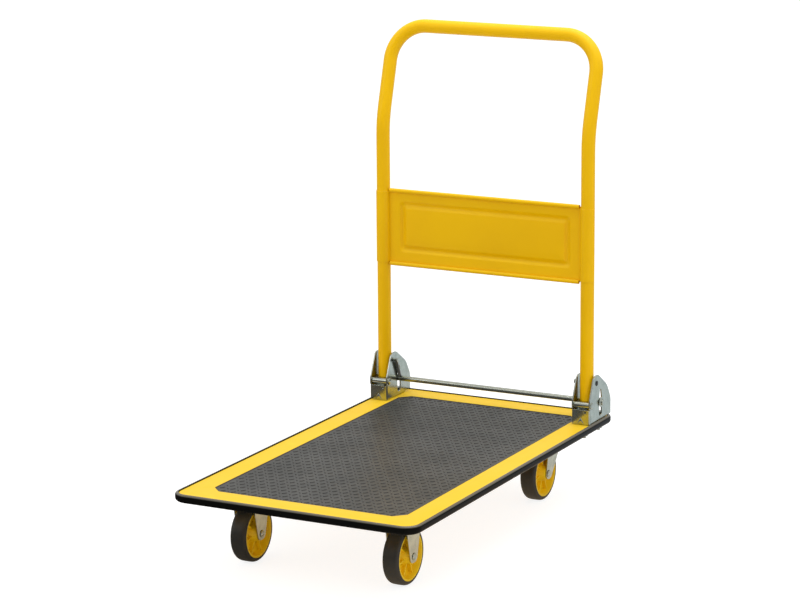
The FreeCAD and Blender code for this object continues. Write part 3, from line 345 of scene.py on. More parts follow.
# %% Build a tree and read its result
def new_group(name, kind, inputs, outputs):
    """A node group, the sockets it is given and those it fills; a number is a starting value."""
    tree = bpy.data.node_groups.new(name, kind)
    for in_out, sockets in (("INPUT", inputs), ("OUTPUT", outputs)):
        for label, value in sockets.items():
            socket_type = value if isinstance(value, str) else "Float"
            socket = tree.interface.new_socket(label, in_out=in_out,
                                               socket_type=f"NodeSocket{socket_type}")
            if socket_type is not value:
                socket.default_value = value
    print("group:", name)
    start, end = tree.nodes.new("NodeGroupInput"), tree.nodes.new("NodeGroupOutput")
    return tree, start.outputs, end.inputs


def add_node(tree, kind, links=None, **settings):
    """A node with its settings, and its inputs linked or filled by name or number."""
    node = tree.nodes.new(kind)
    for key, value in settings.items():
        setattr(node, key, value)
    for key, value in (links or {}).items():
        if isinstance(value, bpy.types.NodeSocket):
            tree.links.new(value, node.inputs[key])
        else:
            node.inputs[key].default_value = value
    return node


def connect(source, target):
    source.id_data.links.new(source, target)


def maths(operation, *values, clamp=False):
    """What a Math node puts out, in the tree of the first value that is a socket."""
    tree = next(value.id_data for value in values if isinstance(value, bpy.types.NodeSocket))
    return add_node(tree, "ShaderNodeMath", dict(enumerate(values)), operation=operation,
                    use_clamp=clamp).outputs[0]


def copies_tree(name, inputs):
    """A geometry tree with named inputs, and what will close it."""
    tree, given, result = new_group(name, "GeometryNodeTree",
                                    {"Geometry": "Geometry", **inputs, "Finish": "Material"},
                                    {"Geometry": "Geometry"})

    def close(points, part, axis, angle):
        """A copy of the part at each point, turned by an angle, made real and given its finish."""
        turn = add_node(tree, "ShaderNodeCombineXYZ", {axis: angle})
        copies = add_node(tree, "GeometryNodeInstanceOnPoints", {
            "Points": points, "Instance": part, "Rotation": turn.outputs[0]})
        real = add_node(tree, "GeometryNodeRealizeInstances", {"Geometry": copies.outputs[0]})
        coated = add_node(tree, "GeometryNodeSetMaterial",
                          {"Geometry": real.outputs[0], "Material": given["Finish"]})
        connect(coated.outputs[0], result["Geometry"])

    return tree, given, close


def grown_mesh(name, tree, seed_mesh, inputs):
    """Run a tree on a mesh, its inputs set by name, and return the result as a plain mesh."""
    holder = in_scene(bpy.data.objects.new(name, seed_mesh))
    modifier = holder.modifiers.new("grow", "NODES")
    modifier.node_group = tree
    for item in tree.interface.items_tree:
        if item.in_out == "INPUT" and item.name in inputs:
            modifier[item.identifier] = inputs[item.name]
    graph = bpy.context.evaluated_depsgraph_get()
    mesh = bpy.data.meshes.new_from_object(holder.evaluated_get(graph))
    bpy.data.objects.remove(holder)
    return mesh


# %% [markdown]
# ## Finishes
#
# Real finishes differ from flat paint in three ways: a fine relief, a slow change of tone over
# the surface, and edges that take more handling than the faces. Each effect is a small shader
# group, built once, and every material sets its own numbers on it. Painted image textures could
# show the same, but they would need unwrapping and would not stay sharp close up. All patterns
# read object coordinates, which on this cart are plain metres.

# %% Shader tools
def srgb(red, green, blue):
    """A colour given as 0 to 255 screen values, as the linear values that shaders use."""
    def linear(value):
        value /= 255
        return value / 12.92 if value <= 0.04045 else ((value + 0.055) / 1.055) ** 2.4
    return (linear(red), linear(green), linear(blue), 1.0)


def spread(value, low, high, to_low=0.0, to_high=1.0):
    """A value between two limits stretched to two others."""
    return add_node(value.id_data, "ShaderNodeMapRange", {
        "Value": value, "From Min": low, "From Max": high,
        "To Min": to_low, "To Max": to_high}).outputs[0]


def place_in(tree, kind="Object"):
    return tree.nodes.new("ShaderNodeTexCoord").outputs[kind]


def split(vector):
    """A vector's X, Y and Z."""
    return add_node(vector.id_data, "ShaderNodeSeparateXYZ", {0: vector}).outputs


def object_noise(tree, scale, detail):
    """Noise on object coordinates."""
    return add_node(tree, "ShaderNodeTexNoise", {
        "Vector": place_in(tree), "Scale": scale, "Detail": detail}).outputs[0]


print("yellow as linear values:", [round(v, 3) for v in srgb(240, 180, 5)])

# %% Fine relief and slow change of tone: orange peel, rubber skin, cloudy patches
fine_relief, given, result = new_group("fine_relief", "ShaderNodeTree", {"Scale": 900.0},
                                       {"Height": "Float"})
connect(object_noise(fine_relief, given["Scale"], 2.0), result["Height"])

clouds, given, result = new_group("cloudy_tone", "ShaderNodeTree",
                                  {"Scale": 9.0, "Low": 0.35, "High": 0.65}, {"Mask": "Float"})
noise = object_noise(clouds, given["Scale"], 3.0)
connect(spread(noise, given["Low"], given["High"]), result["Mask"])

# %% Edges: where the surface turns, with a broken outline, and the rounded normal there
BROKEN_RANGE, PATCHY_RANGE = (0.3, 0.6), (0.4, 0.7)
edges, given, result = new_group(
    "soft_edges", "ShaderNodeTree",
    {"Radius": 0.0006, "Amount": 1.0, "Breaks": 350.0, "Flat": 0.995, "Sharp": 0.86},
    {"Mask": "Float", "Normal": "Vector"})
round_over = add_node(edges, "ShaderNodeBevel", {"Radius": given["Radius"]}, samples=4)
surface = edges.nodes.new("ShaderNodeNewGeometry")
agree = add_node(edges, "ShaderNodeVectorMath", {
    0: round_over.outputs[0], 1: surface.outputs["Normal"]}, operation="DOT_PRODUCT")
turn = spread(agree.outputs["Value"], given["Flat"], given["Sharp"])
breaks = spread(object_noise(edges, given["Breaks"], 2.0), *BROKEN_RANGE)
connect(maths("MULTIPLY", maths("MULTIPLY", turn, breaks), given["Amount"], clamp=True),
        result["Mask"])
connect(round_over.outputs[0], result["Normal"])

# %% Dust and painted sheen: a lighter colour between two tilts of the surface, in soft patches
# On most finishes this is dust. On the paint and the edge moulding it is painted light: a paler
# colour on faces that look up.
dust_and_sheen, given, result = new_group(
    "dust_and_painted_sheen", "ShaderNodeTree",
    {"Amount": 0.2, "Scale": 22.0, "Evenness": 0.0, "Tilt from": 0.2, "Tilt to": 1.0},
    {"Mask": "Float"})
surface = dust_and_sheen.nodes.new("ShaderNodeNewGeometry")
upward = spread(split(surface.outputs["Normal"])["Z"], given["Tilt from"], given["Tilt to"])
patches = maths("MAXIMUM", given["Evenness"],
                spread(object_noise(dust_and_sheen, given["Scale"], 5.0), *PATCHY_RANGE))
connect(maths("MULTIPLY", maths("MULTIPLY", upward, patches), given["Amount"], clamp=True),
        result["Mask"])

# %% [markdown]
# ### One recipe for eight finishes
#
# All the finishes are the same layers in a different strength: a base colour that drifts towards
# a second one, worn or polished edges, a little dust, a roughness that varies with the clouds,
# and the relief as a bump on the rounded edge normal. On the paint and the edge moulding the dust
# layer serves as a painted highlight: a paler colour on faces that look up. So one function lays
# them, and each finish is a short list of numbers, with lengths in millimetres. Anything that is
# the same all over, such as the coat on the paint, is set on the shader itself.

# %% Lay a finish
DUST_ROUGHNESS = 0.15


def add_group(tree, group, **inputs):
    """A group with some inputs set, an underscore in a name standing for a space."""
    node = add_node(tree, "ShaderNodeGroup", node_tree=group)
    for label, value in inputs.items():
        node.inputs[label.replace("_", " ")].default_value = value
    return node.outputs


def mix_colour(share, first, second):
    """First colour where the share is 0, second where it is 1."""
    node = add_node(share.id_data, "ShaderNodeMix", {"Factor": share}, data_type="RGBA")
    for label, value in (("A", first), ("B", second)):
        socket = next(s for s in node.inputs if s.name == label and s.type == "RGBA")
        if isinstance(value, tuple):
            socket.default_value = value
        else:
            connect(value, socket)
    return next(s for s in node.outputs if s.type == "RGBA")


def lay_finish(name, base, second, edge, *, roughness, relief, cloud_scale=9.0,
               edge_radius=0.6, edge_amount=0.3, dust_and_sheen_amount=0.08,
               dust_and_sheen_colour=(176, 170, 158), dust_and_sheen_evenness=0.0, dust_and_sheen_tilt=(0.2, 1.0),
               polished_top=0.0, **constants):
    """A material from the shared groups; the constants are set on the shader's own sockets.

    The relief is its scale and its depth.
    """
    material = bpy.data.materials.new(name)
    material.use_nodes = True
    tree = material.node_tree
    shader = tree.nodes["Principled BSDF"].inputs
    tone = add_group(tree, clouds, Scale=cloud_scale)["Mask"]
    worn = add_group(tree, edges, Radius=edge_radius * MM, Amount=edge_amount)
    dust_and_sheen_mask = add_group(tree, dust_and_sheen, Amount=dust_and_sheen_amount, Evenness=dust_and_sheen_evenness,
                        Tilt_from=dust_and_sheen_tilt[0], Tilt_to=dust_and_sheen_tilt[1])["Mask"]
    relief_scale, relief_depth = relief
    grain = add_group(tree, fine_relief, Scale=relief_scale)["Height"]
    colour = srgb(*base)
    # The last layer is dust, or on the paint and the edge a painted highlight on faces that look
    # up.
    for mask, layer in ((tone, second), (worn["Mask"], edge), (dust_and_sheen_mask, dust_and_sheen_colour)):
        colour = mix_colour(mask, colour, srgb(*layer))
    connect(colour, shader["Base Color"])
    connect(maths("ADD", spread(tone, 0.0, 1.0, *roughness),
                  maths("MULTIPLY", dust_and_sheen_mask, DUST_ROUGHNESS)), shader["Roughness"])
    if polished_top:
        connect(maths("MULTIPLY", dust_and_sheen_mask, polished_top), shader["Coat Weight"])
    bump = add_node(tree, "ShaderNodeBump", {"Strength": 1.0, "Distance": relief_depth * MM,
                                             "Height": grain, "Normal": worn["Normal"]})
    connect(bump.outputs[0], shader["Normal"])
    for label, value in constants.items():
        shader[label.replace("_", " ")].default_value = value
    finishes[name] = material
    print("finish:", name)


# %% [markdown]
# ### The eight finishes
#
# The yellow is a baked powder coat: strong colour, a thin skin over it and a faint orange peel;
# its faces that look up are painted a paler lemon as a painted highlight. Brackets, forks and
# screws are zinc plated, which is a grey metal with cloudy crystals rather than chrome. The mat is
# rolled rubber, the wheel centres a coloured hard plastic and the tyres a plain black rubber. The
# edge is a soft vinyl that is dull on its face; where it looks up, it has a painted grey sheen and
# a polish, as a clear coat, from loads that slide over it.

# %% Paint, plastic and rubber
# The dust layer on the yellow is a painted highlight: faces that look up are painted a paler
# lemon.
lay_finish("yellow_powder_coat", (244, 192, 2), (240, 187, 1), (252, 212, 30),
           roughness=(0.32, 0.38), relief=(700.0, 0.03), edge_radius=0.7, dust_and_sheen_amount=0.6,
           dust_and_sheen_colour=(250, 217, 58), dust_and_sheen_evenness=0.8, Specular_IOR_Level=0.13,
           Coat_Weight=0.03, Coat_Roughness=0.10)
lay_finish("mat_rubber", (54, 54, 50), (48, 48, 44), (40, 40, 37), roughness=(0.38, 0.44),
           relief=(1500.0, 0.04), edge_radius=0.4, edge_amount=0.5, dust_and_sheen_amount=0.05)
# The dust layer on the edge is a painted sheen: a grey band on faces that look up. The coat on it
# is real gloss.
lay_finish("bumper_vinyl", (12, 12, 11), (17, 17, 15), (30, 30, 27), roughness=(0.20, 0.28),
           relief=(1100.0, 0.02), edge_radius=0.5, edge_amount=0.25, dust_and_sheen_amount=0.9,
           dust_and_sheen_colour=(108, 102, 86), dust_and_sheen_evenness=0.9, dust_and_sheen_tilt=(0.40, 0.80),
           polished_top=1.1, Specular_IOR_Level=0.04, Coat_Roughness=0.12)
lay_finish("hub_plastic", (252, 213, 12), (248, 205, 9), (254, 226, 76),
           roughness=(0.40, 0.48), relief=(1300.0, 0.03), dust_and_sheen_amount=0.02,
           Specular_IOR_Level=0.3)
lay_finish("tyre_rubber", (40, 38, 33), (47, 45, 39), (70, 66, 58), roughness=(0.48, 0.60),
           relief=(1200.0, 0.05), dust_and_sheen_amount=0.12)
lay_finish("plug_plastic", (24, 24, 23), (31, 31, 29), (58, 57, 53), roughness=(0.42, 0.52),
           relief=(1500.0, 0.03), edge_radius=0.5)

# %% Plated and bare metal
lay_finish("zinc_plate", (183, 187, 176), (169, 174, 165), (212, 215, 205),
           roughness=(0.14, 0.26), relief=(420.0, 0.03), cloud_scale=85.0, edge_radius=0.5,
           edge_amount=0.5, dust_and_sheen_amount=0.02, Metallic=1.0)
lay_finish("spring_steel", (150, 152, 150), (128, 131, 130), (190, 190, 186),
           roughness=(0.26, 0.38), relief=(1600.0, 0.02), cloud_scale=140.0, edge_radius=0.2,
           dust_and_sheen_amount=0.04, Metallic=1.0)

# %% [markdown]
# ### Pieces that are already right
#
# The rails under the deck, the swivel plates, pins inside the casters, the springs and the pivot
# sleeves have the shape they need. They keep their construction mesh and only change material.
# The rounded edge normal in the finish takes the hard look off their corners.

# %% Finish the construction nodes
node_slots = {row["node"]: row["material_slot"] for row in record["subparts"]}
for node_name, piece in frame["nodes"].items():
    for slot in piece.material_slots:
        slot.material = finishes[node_slots[node_name]]
print(len(frame["nodes"]), "nodes finished")

# %% [markdown]
# ## The deck pressing
#
# The platform is one sheet of 1.2 mm steel. A press sinks the middle by 2 mm for the mat and
# turns the outer edge down into a skirt, so the sheet stiffens itself. It could be a flat box
# with a bevel, but then the underside would be solid. Here a stack of outlines runs over the top,
# round the edge and back underneath, which gives the true wall. The recess has cut corners and
# the skirt has round ones, so both outlines have the same number of points at each corner.

# %% Deck sizes, from the boxes
SHEET = 1.2
RIM_BEND, RECESS_EDGE = 2.5, 0.9
MAT_GAP, MAT_CHAMFER, CHAMFER_GROWTH = 0.4, 19.0, 0.6
BUMPER_DEPTH, DECK_CORNER = 6.0, 30.0

deck, mat, band = map(box_mm, ("deck_plate", "deck_mat", "edge_bumper"))
deck_top = deck.high.z
print("deck top", round(deck_top, 1), "mat", [round(v, 1) for v in mat.high])

# %% Press the deck
def edge_ring(inset, height, steps=CORNER_STEPS):
    """The cart's round-cornered outline, moved in from the band's outer face."""
    return corner_loop(band.high.x - inset, band.high.y - inset, DECK_CORNER - inset, height,
                       steps=steps)


def recess_ring(grow, height):
    """The recess outline; its cut corners keep their width as it grows."""
    half_wide, half_long = mat.high.x + MAT_GAP + grow, mat.high.y + MAT_GAP + grow
    return corner_loop(half_wide, half_long, MAT_CHAMFER + grow * CHAMFER_GROWTH, height,
                       straight=True)


bend = [(BUMPER_DEPTH + RIM_BEND - x, deck_top - RIM_BEND + z)
        for x, z in arc((0, 0), RIM_BEND, 90, 0, 6)]
lip = [(RECESS_EDGE - x, deck_top - RECESS_EDGE + z)
       for x, z in arc((0, 0), RECESS_EDGE, 0, 90, 4)]
inside, underneath, recess_floor = BUMPER_DEPTH + SHEET, deck_top - SHEET, mat.low.z
bend_back = [(BUMPER_DEPTH, deck.low.z), (inside, deck.low.z), (inside, deck_top - RIM_BEND),
             (inside + 0.6, underneath - 0.5), (BUMPER_DEPTH + RIM_BEND, underneath)]
lip_back = [(SHEET + 0.9, underneath), (SHEET, underneath - 0.6), (SHEET, recess_floor - SHEET),
            (0, recess_floor - SHEET)]
rings = [recess_ring(*at) for at in [(-SHEET, recess_floor), (0, recess_floor), *lip]]
rings += [edge_ring(*at) for at in bend + bend_back] + [recess_ring(*at) for at in lip_back]
make("deck_pressing", loft(rings), "yellow_powder_coat", "deck", replaces=["deck_plate"])

# %% [markdown]
# ## The mat
#
# A thin ribbed rubber sheet lies in the recess, with a narrow smooth lip round its tread. The
# tread is a field of short raised bars, each at 57 degrees to the width and leaning left and
# right in turn, so that a load can't slide either way. A bump texture would look right from above
# but flat from the low angle a user sees it at, so the bars are real. A tree sets them on a grid:
# it drops the points that fall outside the cut corners, turns each copy by the parity of its row
# and column, and makes the copies real.

# %% The mat's sheet
BAR_TALL = 1.0
LIP_WIDE, LIP_FALL = 1.1, 0.25
mat_top = mat.high.z
mat_ground = mat_top - BAR_TALL
mat_rings = [recess_ring(-MAT_GAP - inset, height) for inset, height in (
    (0, mat.low.z), (0, mat_top - 0.3), (0.3, mat_top - 0.05), (LIP_WIDE, mat_top - 0.15),
    (LIP_WIDE + LIP_FALL, mat_ground))]
make("mat_sheet", loft(mat_rings), "mat_rubber", "deck", replaces=["deck_mat"])

# %% A tree that sets bars on a grid
bars_tree, given, close = copies_tree("bars_on_a_grid", {
    "Columns": "Int", "Rows": "Int", "Pitch across": "Float", "Pitch along": "Float",
    "Half width": "Float", "Half length": "Float", "Cut corner": "Float", "Turn": "Float"})
spot = bars_tree.nodes.new("GeometryNodeInputPosition")
parts = split(spot.outputs[0])
sizes, away, too_far, steps_in = [], [], [], []
for part, count, pitch, half in (("X", "Columns", "Pitch across", "Half width"),
                                 ("Y", "Rows", "Pitch along", "Half length")):
    sizes.append(maths("MULTIPLY", maths("SUBTRACT", given[count], 1.0), given[pitch]))
    away.append(maths("ABSOLUTE", parts[part]))
    too_far.append(maths("GREATER_THAN", away[-1], given[half]))
    from_edge = maths("ADD", parts[part], maths("DIVIDE", sizes[-1], 2.0))
    steps_in.append(maths("ROUND", maths("DIVIDE", from_edge, given[pitch])))
grid = add_node(bars_tree, "GeometryNodeMeshGrid", {
    "Size X": sizes[0], "Size Y": sizes[1],
    "Vertices X": given["Columns"], "Vertices Y": given["Rows"]})
reach = maths("SUBTRACT", maths("ADD", given["Half width"], given["Half length"]),
              given["Cut corner"])
in_corner = maths("GREATER_THAN", maths("ADD", *away), reach)
kept = add_node(bars_tree, "GeometryNodeDeleteGeometry", {
    "Geometry": grid.outputs[0],
    "Selection": maths("ADD", maths("ADD", *too_far), in_corner)}, domain="POINT")
odd = maths("MODULO", maths("ADD", *steps_in), 2.0)
close(kept.outputs[0], given["Geometry"], 2,
      maths("MULTIPLY", maths("MULTIPLY_ADD", odd, -2.0, 1.0), given["Turn"]))
print("tree:", bars_tree.name, len(bars_tree.nodes), "nodes")

# %% Roll the bars onto the mat
BAR_LONG, BAR_WIDE, BAR_TAPER = 10.5, 2.7, 0.5
PITCH_ACROSS, PITCH_ALONG = 10.25, 15.95
BAR_TURN = 57.3
EDGE_CLEAR = 5.0


def bar_ring(shrink, height):
    """A long hexagon: straight sides and pointed ends."""
    long, wide, point = BAR_LONG / 2 - shrink, BAR_WIDE / 2 - shrink, BAR_WIDE / 2
    return [(u, v, height) for u, v in ((long, 0), (long - point, wide), (point - long, wide),
                                        (-long, 0), (point - long, -wide), (long - point, -wide))]


mat_bar = plain_mesh("bar", loft([bar_ring(0, mat_ground - 0.1), bar_ring(0, mat_ground + 0.2),
                                  bar_ring(BAR_TAPER, mat_top)]))
bars = grown_mesh("bars", bars_tree, mat_bar, {
    "Columns": 2 * int(mat.high.x // PITCH_ACROSS) + 1,
    "Rows": 2 * int(mat.high.y // PITCH_ALONG) + 1,
    "Pitch across": PITCH_ACROSS * MM, "Pitch along": PITCH_ALONG * MM,
    "Half width": (mat.high.x - EDGE_CLEAR) * MM, "Half length": (mat.high.y - EDGE_CLEAR) * MM,
    "Cut corner": (MAT_CHAMFER - EDGE_CLEAR) * MM,
    "Turn": math.radians(BAR_TURN), "Finish": finishes["mat_rubber"]})
add_piece("mat_grip_bars", bars, "mat_rubber", "deck")

# %% [markdown]
# ## The edge moulding
#
# A soft black band runs right round the deck and takes the knocks. Its outer face is a round nose
# with a crest a little above the deck, it hooks under the skirt, and a lip inside holds it on. It
# is extruded on the real cart, so one profile carried round the deck makes it exactly. The nose
# is a little fuller below than above. Its crest is where loads rub a polish, given as a clear
# coat; its grey there is a painted sheen.

# %% Carry the profile round the deck
BROW, BELLY = 5.2, 5.9
HOOK, LIP_TALL, BAND_FLOOR, LIP_ROUND = 2.0, 6.0, 1.8, 0.6
band_low, band_top = band.low.z, band.high.z
floor_level, lip_level = band_low + BAND_FLOOR, band_low + BAND_FLOOR + LIP_TALL
band_profile = [(BUMPER_DEPTH, band_top - 0.6), (BUMPER_DEPTH - 0.2, band_top - 0.15),
                (BUMPER_DEPTH - 0.6, band_top), *arc((BROW, band_top - BROW), BROW, 90, 180, 9),
                *arc((BELLY, band_low + BELLY), BELLY, 180, 270, 9),
                (inside + HOOK - 0.5, band_low), (inside + HOOK, band_low + 0.5),
                (inside + HOOK, lip_level - LIP_ROUND), (inside + HOOK / 2, lip_level),
                (inside, lip_level - LIP_ROUND), (inside, floor_level),
                (BUMPER_DEPTH, floor_level)]
moulding = loft([edge_ring(inset, height, steps=12) for inset, height in band_profile],
                round_trip=True)
make("edge_moulding", moulding, "bumper_vinyl", "deck", replaces=["edge_bumper"], crease=50)

# %% [markdown]
# ## The push handle
#
# One 25.4 mm tube makes the handle: it rises straight from the brackets, leans back above the
# knee and crosses over at the top as the grip. A bender makes each bend with a round die, so a
# path of straight runs and tangent arcs is the honest way to draw it. A curve with a bevel would
# do the same; a swept mesh also gives the tube its wall and its open feet.

# %% Bend the tube
TUBE_WALL = 1.5
KNEE_LEVEL, KNEE_RADIUS, GRIP_RADIUS = 677.0, 200.0, 67.0
grip_mount = next(mount for mount in record["mounts"] if mount["name"] == "handle_grip")
tube_radius = grip_mount["dims"]["r_mm"]
tube = box_mm("handle_tube")
spread_x, tube_y = tube.high.x - tube_radius, tube.low.y + tube_radius
grip_y, grip_z = tube.high.y - tube_radius, tube.high.z - tube_radius
leg = [(tube_y, tube.low.z), (tube_y, KNEE_LEVEL), (grip_y, grip_z)]
path = bent_path([(-spread_x, *spot) for spot in leg] + [(spread_x, *spot) for spot in leg[::-1]],
                 [KNEE_RADIUS, GRIP_RADIUS, GRIP_RADIUS, KNEE_RADIUS])
skin, bore = tube_loops(path, tube_radius), tube_loops(path, tube_radius - TUBE_WALL)
make("push_handle", loft(skin + bore[::-1], round_trip=True), "yellow_powder_coat", "handle",
     replaces=["handle_tube"])
print("legs at", round(spread_x, 1), "back", round(tube_y, 1), "grip height", round(grip_z, 1))

# %% [markdown]
# ## The panel between the legs
#
# A pressed sheet ties the legs together. A wide soft groove runs round its middle to stiffen it,
# its top and bottom edges are rolled forward into hems, and at each side it wraps half way round
# the leg. The middle is left bare. Three shapes make it: the sheet is a stack of rectangles that
# steps down into the groove and up again, the hems are strips folded round a small circle, and
# the half sleeves are strips folded round the tube.

# %% Press the sheet
HEM_RADIUS, FLANGE_INSET = 3.75, 6.0
GROOVE_INSET, GROOVE_WIDE, GROOVE_DEEP, GROOVE_STEPS = 20.0, 16.0, 4.4, 12
GROOVE_CORNER, FIELD_CORNER, FIELD_MARGIN = 9.5, 3.0, 20.0
HEM_ROOM, GROOVE_LIFT = 4.0, 1.5
panel = box_mm("handle_panel")
panel_half_wide, panel_half_tall = spread_x - tube_radius, panel.half.z


def panel_ring(inset, radius, depth, tall=None):
    """A round-cornered rectangle in the panel's plane, pushed back by a depth."""
    lift = 0.0 if tall else GROOVE_LIFT
    loop = corner_loop(panel_half_wide - inset, tall or panel_half_tall - HEM_ROOM - inset,
                       radius, tube_y - SHEET + depth)
    return [(x, y, panel.middle.z + lift + z) for x, z, y in loop]


front, back = ([panel_ring(0, 0.2, depth, panel_half_tall - HEM_RADIUS)] for depth in (0, SHEET))
for share in (step / GROOVE_STEPS for step in range(GROOVE_STEPS + 1)):
    inset = GROOVE_INSET + GROOVE_WIDE * share
    radius = GROOVE_CORNER + (FIELD_CORNER - GROOVE_CORNER) * share
    depth = GROOVE_DEEP * math.sin(math.pi * share) ** 2
    lean = math.atan(math.pi * GROOVE_DEEP / GROOVE_WIDE * math.sin(math.tau * share))
    front.append(panel_ring(inset, radius, depth))
    back.append(panel_ring(inset - SHEET * math.sin(lean), radius, depth + SHEET * math.cos(lean)))
field_edge = GROOVE_INSET + GROOVE_WIDE + FIELD_MARGIN
sheet_shape = loft([panel_ring(field_edge, 1.0, 0), *reversed(front), *back,
                    panel_ring(field_edge, 1.0, SHEET)])
print("panel", round(2 * panel_half_wide, 1), "by", round(2 * panel_half_tall, 1))

# %% Roll the hems and wrap the legs
HEM_TURN, HEM_END_GAP, SLEEVE_GAP = 335.0, 2.5, 0.02


def bent_strip(length, half, rule, steps):
    """A strip of sheet bent all along its length by a rule."""
    blank = [(0, -half), (length, -half), (length, half), (0, half)]
    return sheet_metal(blank, [], SHEET, rule, fold_cuts((0, length), steps=steps))


def hem(way):
    """A strip rolled forward; way is 1 for the lower hem and -1 for the upper one."""
    level = panel.middle.z - way * (panel_half_tall - HEM_RADIUS)

    def roll(along, across, height):
        angle, radius = along / HEM_RADIUS, HEM_RADIUS - SHEET + height
        return (across, tube_y - HEM_RADIUS + radius * math.cos(angle),
                level - way * radius * math.sin(angle))

    return bent_strip(math.radians(HEM_TURN) * HEM_RADIUS, panel_half_wide - HEM_END_GAP, roll, 30)


def half_sleeve(side):
    """A strip round the front half of a leg."""
    outer = tube_radius + SHEET

    def wrap(along, across, height):
        angle = math.pi + along / outer
        radius = tube_radius + height + (0 if height > SHEET / 2 else SLEEVE_GAP)
        return (side * spread_x + radius * math.cos(angle), tube_y + radius * math.sin(angle),
                panel.middle.z + across)

    return bent_strip(math.pi * outer, panel_half_tall - FLANGE_INSET, wrap, 32)


make("pressed_panel", merged(sheet_shape, hem(1), hem(-1), pair(half_sleeve)),
     "yellow_powder_coat", "handle", replaces=["handle_panel"])

# %% [markdown]
# ## The handle brackets
#
# Each leg stands between two tall plates that rise from the deck. Plates, base and the low web in
# front are one piece of 2.5 mm sheet, so this is folded sheet in the truest sense. The blank has
# a slot for the foot bar, a tapered window above it, a hole for the pivot rivet and one for the
# spring's anchor, and its rear corners are notched to clear the edge moulding. The web is folded
# round the front corners and has a pressed dart at its foot.

# %% Fold a U
PLATE, FOLD = 2.5, 3.2


def straight_from(half, radius):
    """Where the straight side starts on a blank that is folded into a U."""
    return half - radius + math.pi / 2 * radius


def side_height(up, half, radius):
    """A height on the folded side, as a distance on the flat blank."""
    return straight_from(half, radius) + up - radius


def u_sheet(outline, holes, half, radius, place):
    """A blank folded into a U; place puts (across, run, depth) where it stands."""
    start, end = half - radius, straight_from(half, radius)

    def fold(along, run, height):
        away, side = abs(along), math.copysign(1, along)
        inward = PLATE - height
        if away <= start:
            across, depth = away, inward
        elif away <= end:
            angle = (away - start) / radius
            across = start + (radius - inward) * math.sin(angle)
            depth = radius - (radius - inward) * math.cos(angle)
        else:
            across, depth = half - inward, radius + away - end
        return place(side * across, run, depth)

    return sheet_metal(outline, holes, PLATE, fold, fold_cuts((start, end), (-end, -start)))


bracket, pin = box_mm("left_handle_bracket"), box_mm("left_pivot_pin").middle
anchor, foot_bar = box_mm("spring_anchors").middle, box_mm("release_bar")
bracket_half, bracket_long, bracket_tall = bracket.half.x, 2 * bracket.half.y, 2 * bracket.half.z
blank_half = side_height(bracket_tall, bracket_half, FOLD)
print("bracket", round(bracket_long, 1), "long", round(bracket_tall, 1), "tall; blank",
      round(2 * blank_half, 1), "wide")

# %% Cut and fold a bracket
SIDE_CORNERS = [(bracket_long, 34.0, 22.0), (79.0, 62.0, 44.0), (39.0, bracket_tall, 14.0),
                (20.0, bracket_tall, 11.5), (0.0, 43.0, 26.0)]
NOTCH_WIDE, NOTCH_LONG = 10.0, 19.9
SLOT_BACK = foot_bar.middle.y - bracket.low.y
SLOT, WINDOW = (8.0, 6.5, 39.3, 6.5, 6.2), (42.0, 6.6, 59.0, 2.8, 2.0)
PIVOT_HOLE, ANCHOR_HOLE = 4.0, 2.5
WEB_TALL, WEB_HOLE, WEB_HOLE_RADIUS = 28.5, (8.4, 24.5), 2.0
DART_FOOT, DART_TALL, DART_REAR = 1.0, 12.0, 0.6
DART = ((0, 6.5, 0.05), (0.2, 5.6, 1.1), (0.5, 3.9, 1.5), (0.8, 1.9, 1.0), (1, 0.5, 0.05))


def on_blank(outline, side):
    loop = [(side * side_height(up, bracket_half, FOLD), back) for back, up in outline]
    return loop if side > 0 else loop[::-1]


def plate_outline():
    """One side of the blank: from the web's corner, over the top and down the back."""
    base = bracket_half - NOTCH_WIDE - side_height(0, bracket_half, FOLD)
    notched = bracket_long - NOTCH_LONG
    return rounded([(bracket_long, base, 0), (notched, base, 1.0), (notched, FOLD, 1.0),
                    (bracket_long, FOLD, 0.8), *SIDE_CORNERS, (0.0, WEB_TALL + 1.2, 0.5),
                    (FOLD, WEB_TALL + 0.4, 0.5), (FOLD, FOLD, 0)], steps=10)


def tapered_hole(low, low_half, high, high_half, radius):
    """A hole above the foot bar's place, between two levels."""
    return rounded([(SLOT_BACK + low_half, low, radius), (SLOT_BACK + high_half, high, radius),
                    (SLOT_BACK - high_half, high, radius), (SLOT_BACK - low_half, low, radius)])


def side_holes(side):
    """Slot, window and the two rivet holes of one plate."""
    holes = [tapered_hole(*SLOT), tapered_hole(*WINDOW)]
    for spot, radius, steps in ((pin, PIVOT_HOLE, 24), (anchor, ANCHOR_HOLE, 16)):
        holes.append(circle_loop(tuple((spot - bracket.low).yz), radius, steps))
    return [on_blank(hole, side) for hole in holes]


def bracket_shape(middle):
    """Base and plates as a U, the web folded round the front corners, and the web's dart."""
    def stand(across, back, up):
        return middle + across, bracket.low.y + back, bracket.low.z + up

    body = u_sheet(on_blank(plate_outline(), 1) + on_blank(plate_outline(), -1),
                   side_holes(1) + side_holes(-1), bracket_half, FOLD, stand)
    end = straight_from(bracket_half, FOLD)
    web = u_sheet(rounded([(-end, 0.6, 0), (end, 0.6, 0), (end, WEB_TALL, 1.0),
                           (-end, WEB_TALL, 1.0)]),
                  [circle_loop(WEB_HOLE, WEB_HOLE_RADIUS, 20)], bracket_half, FOLD,
                  lambda across, up, back: stand(across, back, up))
    rings = []
    for share, wide, proud in DART:
        swell = [(wide * x, -proud * y) for x, y in arc((0, 0), 1.0, 0, 180, 10)]
        flat = [(x * 0.98, DART_REAR) for x, _ in reversed(swell)]
        rings.append([stand(x, y, DART_FOOT + DART_TALL * share) for x, y in swell + flat])
    return merged(body, web, loft(rings))


SIDES = {"left": -1, "right": 1}
for side_name, side in SIDES.items():
    make(f"{side_name}_bracket_sheet", bracket_shape(side * spread_x), "zinc_plate", "deck",
         replaces=[f"{side_name}_handle_bracket"])
